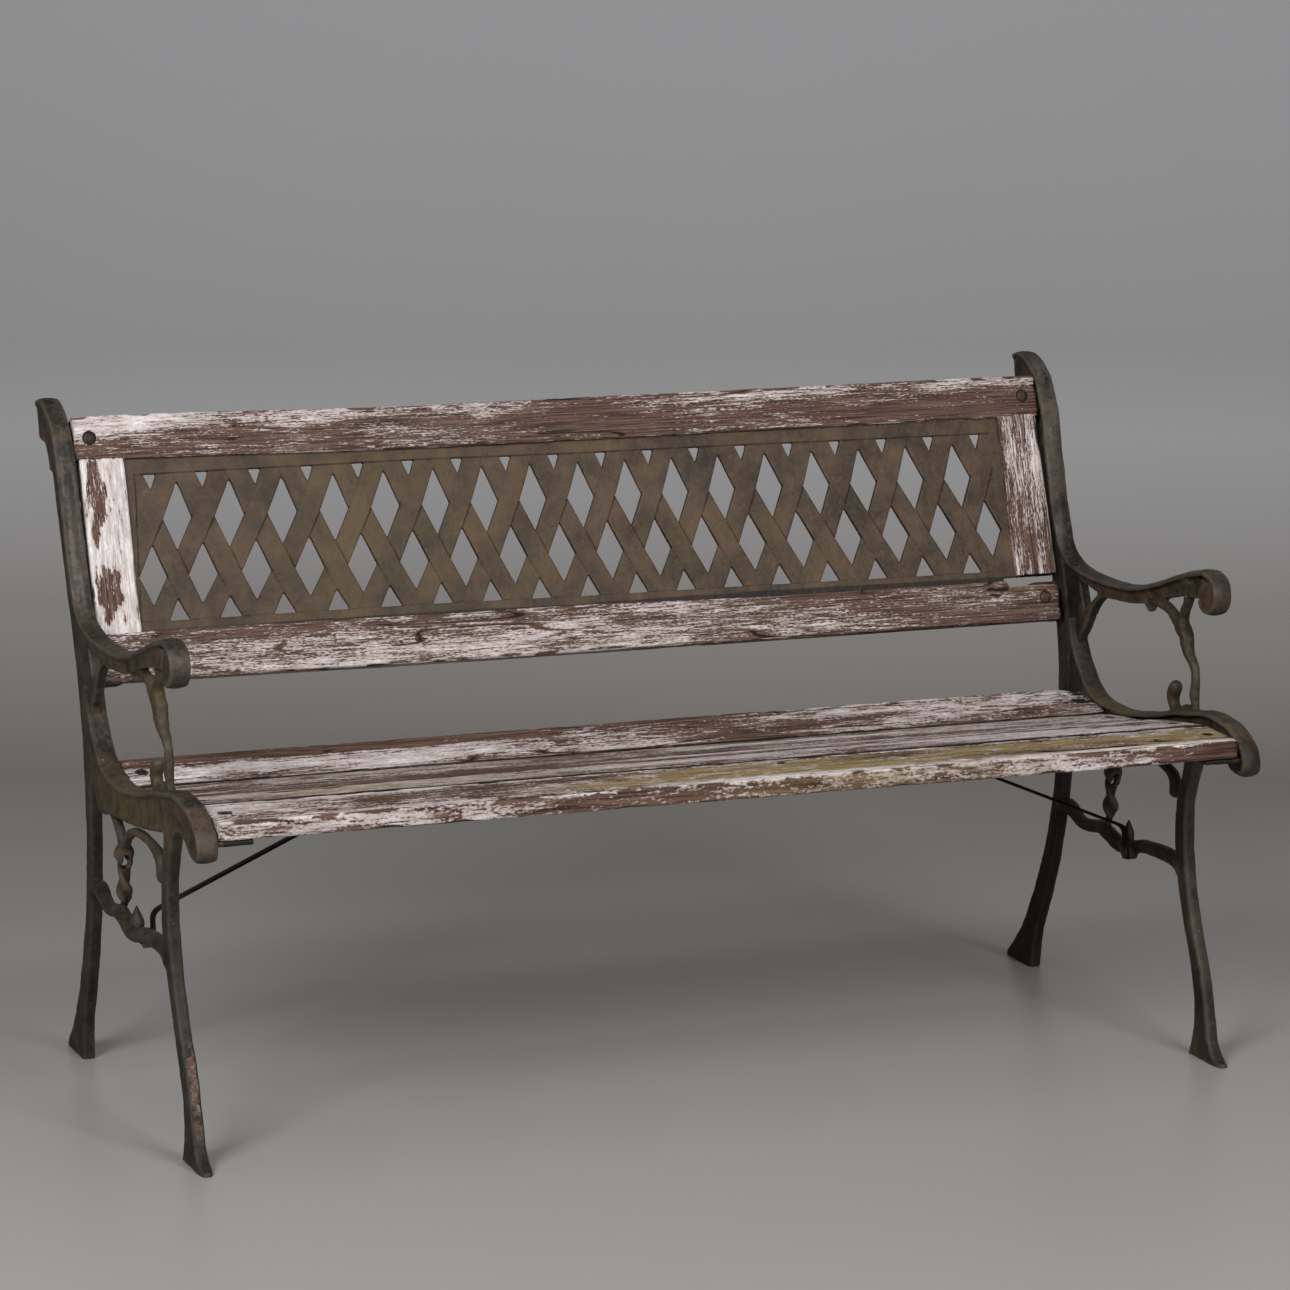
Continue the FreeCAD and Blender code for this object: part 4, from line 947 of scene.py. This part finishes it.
def split_corner(x, w, h, length, width, thickness):
    """The rear right corner of the last slat is split into fibres."""
    torn = ramp(x, length - SPLIT_START, length - SPLIT_WHOLE)
    torn = torn * ramp(w, width - SPLIT_START, width - SPLIT_WHOLE)
    ragged = fractal(columns(x * 40, w * 420, h * 200), 97)
    h = h - torn * (SPLIT_DEPTH + ragged * SPLIT_RAGGED) * (h > thickness / 2)
    w = w - torn * np.abs(ragged) * SPLIT_SPREAD
    # Painted shade among the torn fibres and across the split end
    end = ramp(x, length - 0.018, length - 0.011) * ramp(w, width * 0.2, width * 0.4)
    dark = np.maximum(torn * ramp(ragged, -0.2, 0.2), end * ramp(ragged, -0.7, -0.2))
    return x, w, h, torn * 0.3, np.clip(dark, 0, 1)


BACK_BOARDS = (("back_rail_top", top_rail_looks, raised_rail, False),
               ("back_rail_bottom", bottom_rail_looks, broken_lip, False),
               ("back_stile_left", left_stile_looks, raised_stile, True),
               ("back_stile_right", right_stile_looks, short_foot, True))
for number, (node, looks, shape, upright) in enumerate(BACK_BOARDS, 1):
    weathered_board(node, BACK_FACING, back_paint, "painted_wood", number, looks, upright, shape)

SLAT_LOOKS = (front_slat_looks, second_slat_looks, middle_slat_looks, fourth_slat_looks, rear_slat_looks)
SLAT_SEED = 10
SLAT_SPREAD = 0.45
for number, looks in enumerate(SLAT_LOOKS, 1):
    weathered_board(f"seat_slat_{number}", SEAT_FACING, seat_paint, "seat_wood", SLAT_SEED + number, looks,
                    shape=split_corner if number == len(SLAT_LOOKS) else None, spread=SLAT_SPREAD,
                    dirty_sides=(0.0 if number == 1 else 1.0, 1.0))


# The lattice

# Crossings above the bottom rail, their pitch along the bench, and the straps
LATTICE_ROWS = (0.004, 0.062, 0.128, 0.202)
LATTICE_HALF = 0.5356
LATTICE_COLUMNS = 18
LATTICE_PITCH = 2 * LATTICE_HALF / LATTICE_COLUMNS
LATTICE_BORDER = 0.012
LATTICE_PLAY = 0.001
GROOVE_DEPTH = 0.008
STRAP_HALF = 0.013
LATTICE_VOXEL = 0.0011
LATTICE_SMOOTHING = 1

# Height of the coarse and fine roughness of the rusted panel
RUST_HEIGHT = 0.0003
FINE_RUST_HEIGHT = 0.00014

# How far the front stands out: the border, the straps over and under each other, and what lies beside them
BORDER_LIFT = 0.0016
STRAP_LIFT = 0.0003
WEAVE_LIFT = 0.0011
SIDE_LIFT = -0.0012

# How far the crossings are off their even pitch, and the panel off its level, at places along the bench
LATTICE_X = (-0.536, -0.45, -0.33, -0.2, 0.0, 0.2, 0.35, 0.5, 0.536)
UPPER_DRIFT = (-0.003, -0.0035, 0.0012, 0.0038, 0.0014, -0.0026, -0.0012, 0.002, 0.001)
LOWER_DRIFT = (-0.007, -0.0105, -0.0046, 0.0009, -0.0002, -0.0022, 0.001, 0.0046, 0.002)
LATTICE_RISE = (0.0036, 0.0036, 0.0036, 0.0037, 0.0011, 0.0004, -0.001, -0.002, -0.002)

# Beyond this place, where the rail below is broken away, the panel's foot ends a little above the rail
CORNER_X = 0.515
CORNER_FLOOR = 0.002


def strap_at(along, up, lean):
    """Distance to the nearest strap of one lean, and how far forward the weave carries it there."""
    level = np.interp(up, LATTICE_ROWS, np.arange(len(LATTICE_ROWS)))
    place = along / LATTICE_PITCH - lean * (level - 1) / 2
    off = np.abs(place - np.round(place)) * LATTICE_PITCH
    return off, np.cos(level * math.pi) * lean


def woven_front(x, up, opening):
    """How far the front of the lattice stands out, and where painted shade goes beside the upper straps and
    inside the border.
    """
    lift = np.full(len(x), SIDE_LIFT)
    crease = np.zeros(len(x))
    straps = [strap_at(x, up, lean) for lean in (1, -1)]
    for (off, wave), (other_off, other_wave) in (straps, straps[::-1]):
        lift = np.where(off < STRAP_HALF, np.maximum(lift, wave * WEAVE_LIFT + STRAP_LIFT), lift)
        over = (wave > other_wave) * (other_off < STRAP_HALF)
        crease = np.maximum(crease, bump_at(off, STRAP_HALF + 0.0003, 0.0011) * over)
    inside = np.minimum(np.minimum(up, opening - up), LATTICE_HALF - np.abs(x)) - LATTICE_BORDER
    lift = np.where(inside < 0, BORDER_LIFT, lift)
    crease = np.where(inside < -0.001, 0, np.maximum(crease, bump_at(inside, 0.0002, 0.0012)))
    return lift, crease


def cast_lattice():
    """The lattice panel with its straps woven over and under."""
    mesh = soft_copy("lattice_panel", LATTICE_VOXEL, LATTICE_SMOOTHING)
    corner, axes, (length, width, thickness) = board_axes("lattice_panel", BACK_FACING)
    points = vertex_array(mesh)
    along, across, out = (np.array(axis) for axis in axes)
    local = points - np.array(corner)
    x = local @ along - length / 2
    up = local @ across - GROOVE_DEPTH
    front = ramp(local @ out, thickness * 0.4, thickness * 0.7)
    lift, crease = woven_front(x, up, width - 2 * GROOVE_DEPTH + LATTICE_PLAY)
    rough = rough_skin(points, 90, RUST_HEIGHT, 31) + rough_skin(points, 330, FINE_RUST_HEIGHT, 35, 2)
    upper = np.interp(x, LATTICE_X, UPPER_DRIFT)
    lower = np.interp(x, LATTICE_X, LOWER_DRIFT)
    lower_row, upper_row = LATTICE_ROWS[1:3]
    drift = lower + (upper - lower) * np.clip((up - lower_row) / (upper_row - lower_row), -0.5, 1.5)
    rise = np.interp(x, LATTICE_X, LATTICE_RISE)
    rise = rise + (x > CORNER_X) * np.maximum(0, CORNER_FLOOR - up - rise)
    points = points + out * (front * (lift + rough))[:, None]
    points = points + drift[:, None] * along + rise[:, None] * across
    set_vertices(mesh, points)
    # Painted shade on the side walls of the straps and in the creases, and a painted shadow line along the
    # panel's foot
    walls = ramp(vertex_array(mesh, "normal") @ out, 0.75, 0.35)
    tone = fractal(points * 9, 33)
    ochre = 0.06 + tone * 0.35 + bump_at(x, -0.25, 0.3) * 0.22
    # Height of the painted shadow line along the panel's foot
    foot = 0.002 + 0.0025 * ramp(x, -0.1, 0.25) + rough_skin(points, 40, 0.0006, 37)
    set_fields(mesh, ochre=np.clip(ochre, 0, 1), brown=np.clip(-tone * 0.5, 0, 1),
               hollow=np.maximum(crease * 0.45, walls * 0.8) * front,
               gloom=ramp(up - foot, 0.0012, 0.0) * 0.95, wear=0, edge=0, chips=0)
    show(mesh, "lattice_cast", lattice_iron, "lattice", "lattice_panel")


cast_lattice()


# Braces and fasteners

# A height between the bolts of the two back rails
BETWEEN_RAILS_Z = 0.58


def raised_bolts():
    """The bolts of the back, gone up with the rails."""
    mesh = nodes["back_bolts"].data.copy()
    corner, axes, _ = board_axes("back_rail_top", BACK_FACING)
    points = vertex_array(mesh)
    x = points[:, 0] - corner[0]
    rise = np.where(points[:, 2] > BETWEEN_RAILS_Z, top_rise(x), bottom_rise(x))
    set_vertices(mesh, points + rise[:, None] * np.array(axes[1]))
    show(mesh, "back_bolts_raised", bolt_iron, "fasteners", "back_bolts")


# The others keep the shape of the frame
PLAIN_PIECES = {"seat_brace_left": brace_iron, "seat_brace_right": brace_iron, "back_nuts": bolt_iron,
                "seat_bolts": dark_bolt, "seat_nuts": bolt_iron, "brace_bolts": bolt_iron,
                "brace_screws": bolt_iron}
for node, material in PLAIN_PIECES.items():
    coat(nodes[node].data, material)
raised_bolts()


# Floor, light and camera

# Colours along the floor from front to back and on up the backdrop, in metres from the bench: painted light
# and shade, darker towards the back of the floor and lighter up the wall
BACKDROP = ((-0.9, (156, 153, 150)), (0.3, (147, 145, 141)), (1.1, (140, 136, 130)), (1.5, (134, 127, 121)),
            (2.7, (185, 181, 176)), (3.9, (203, 202, 204)), (4.3, (189, 189, 191)), (5.8, (199, 199, 202)))
CLOUD_COLOUR = rgb(160, 158, 156)
PATH_START = -2.0
PATH_END = 6.0

# The floor's reach to each side, and the bend up to the wall behind the bench
FLOOR_REACH = 9.0
BEND_START = 2.9
BEND_RADIUS = 2.0
BEND_STEPS = 40
WALL_TOP = 6.0

# Lamps: place, aim, width and height in metres, and power in watts
LAMPS = {
    "key": ((-3.1, -2.7, 2.9), (0.0, 0.0, 0.35), 1.8, 1.8, 165),
    "fill": ((0.9, -4.7, 2.9), (0.0, 0.0, 0.35), 1.8, 1.8, 165),
    "top": ((0.0, -0.6, 3.8), (0.0, 0.0, 0.3), 2.4, 2.0, 18),
}
SKY_STRENGTH = 0.095


def grey_floor():
    """The floor's material: painted light and shade along the path from front to back, glossier in front."""
    made, tree, shader = new_material("grey floor")
    place = add_node(tree, "ShaderNodeTexCoord").outputs["Object"]
    apart = add_node(tree, "ShaderNodeSeparateXYZ", {"Vector": place})
    path = maths(tree, "ADD", apart.outputs["Y"], apart.outputs["Z"])
    share = add_node(tree, "ShaderNodeMapRange",
                     {"Value": path, "From Min": PATH_START, "From Max": PATH_END})
    shades = add_node(tree, "ShaderNodeValToRGB", {"Fac": share.outputs["Result"]})
    stops = shades.color_ramp.elements
    while len(stops) < len(BACKDROP):
        stops.new(0.5)
    for stop, (along, colour) in zip(stops, BACKDROP):
        stop.position = (along - PATH_START) / (PATH_END - PATH_START)
        stop.color = rgb(*colour)
    cloud = noise_at(tree, place, 1.3, 4.0, 0.5)
    tint = blend(tree, times(tree, cloud, 0.12), shades.outputs["Color"], CLOUD_COLOUR)
    tree.links.new(tint, shader.inputs["Base Color"])
    gloss = add_node(tree, "ShaderNodeMapRange", {"Value": path, "From Min": 1.2, "From Max": 2.6,
                                                  "To Min": 0.36, "To Max": 0.85})
    tree.links.new(gloss.outputs["Result"], shader.inputs["Roughness"])
    shader.inputs["Specular IOR Level"].default_value = 0.4
    return made


def studio():
    """A floor that bends up into a wall, turned to face the camera."""
    profile = [(-FLOOR_REACH, 0.0), (BEND_START, 0.0)]
    for i in range(1, BEND_STEPS + 1):
        turn = math.pi / 2 * i / BEND_STEPS
        profile.append((BEND_START + BEND_RADIUS * math.sin(turn), BEND_RADIUS * (1 - math.cos(turn))))
    profile.append((BEND_START + BEND_RADIUS, WALL_TOP))
    points = [(side * FLOOR_REACH, y, z) for y, z in profile for side in (-1, 1)]
    faces = [(2 * i, 2 * i + 1, 2 * i + 3, 2 * i + 2) for i in range(len(profile) - 1)]
    mesh = bpy.data.meshes.new("floor")
    mesh.from_pydata(points, [], faces)
    smooth_shade(mesh)
    floor = add_object("floor", mesh)
    floor.rotation_euler = (0, 0, CAMERA_AZIMUTH)
    mesh.materials.append(grey_floor())


def soft_light(name, place, aim, width, height, power):
    data = bpy.data.lights.new(name, "AREA")
    data.shape = "RECTANGLE"
    data.size = width
    data.size_y = height
    data.energy = power
    lamp = add_object(name, data)
    lamp.location = place
    lamp.rotation_euler = (Vector(aim) - Vector(place)).to_track_quat("-Z", "Y").to_euler()


def sky():
    world = bpy.data.worlds.new("studio")
    world.use_nodes = True
    background = world.node_tree.nodes["Background"]
    background.inputs["Color"].default_value = (1.0, 1.0, 1.0, 1.0)
    background.inputs["Strength"].default_value = SKY_STRENGTH
    bpy.context.scene.world = world


def photo_camera():
    back = Vector((math.sin(CAMERA_AZIMUTH) * math.cos(CAMERA_ELEVATION),
                   -math.cos(CAMERA_AZIMUTH) * math.cos(CAMERA_ELEVATION), math.sin(CAMERA_ELEVATION)))
    level = Vector((math.cos(CAMERA_AZIMUTH), math.sin(CAMERA_AZIMUTH), 0))
    rise = back.cross(level)
    right = level * math.cos(CAMERA_ROLL) + rise * math.sin(CAMERA_ROLL)
    up = rise * math.cos(CAMERA_ROLL) - level * math.sin(CAMERA_ROLL)
    eye = CAMERA_AIM + back * CAMERA_DISTANCE + right * CAMERA_SHIFT_RIGHT + up * CAMERA_SHIFT_UP
    data = bpy.data.cameras.new("photo camera")
    data.sensor_fit = "HORIZONTAL"
    data.sensor_width = SENSOR_WIDTH
    data.lens = SENSOR_WIDTH * FOCAL_PIXELS / PICTURE_PIXELS
    data.clip_end = 100
    camera = add_object("photo camera", data)
    camera.matrix_world = Matrix.Translation(eye) @ Matrix((right, up, back)).transposed().to_4x4()
    bpy.context.scene.camera = camera


studio()
for name, settings in LAMPS.items():
    soft_light(name, *settings)
sky()
photo_camera()
bpy.context.scene.view_settings.view_transform = "Standard"
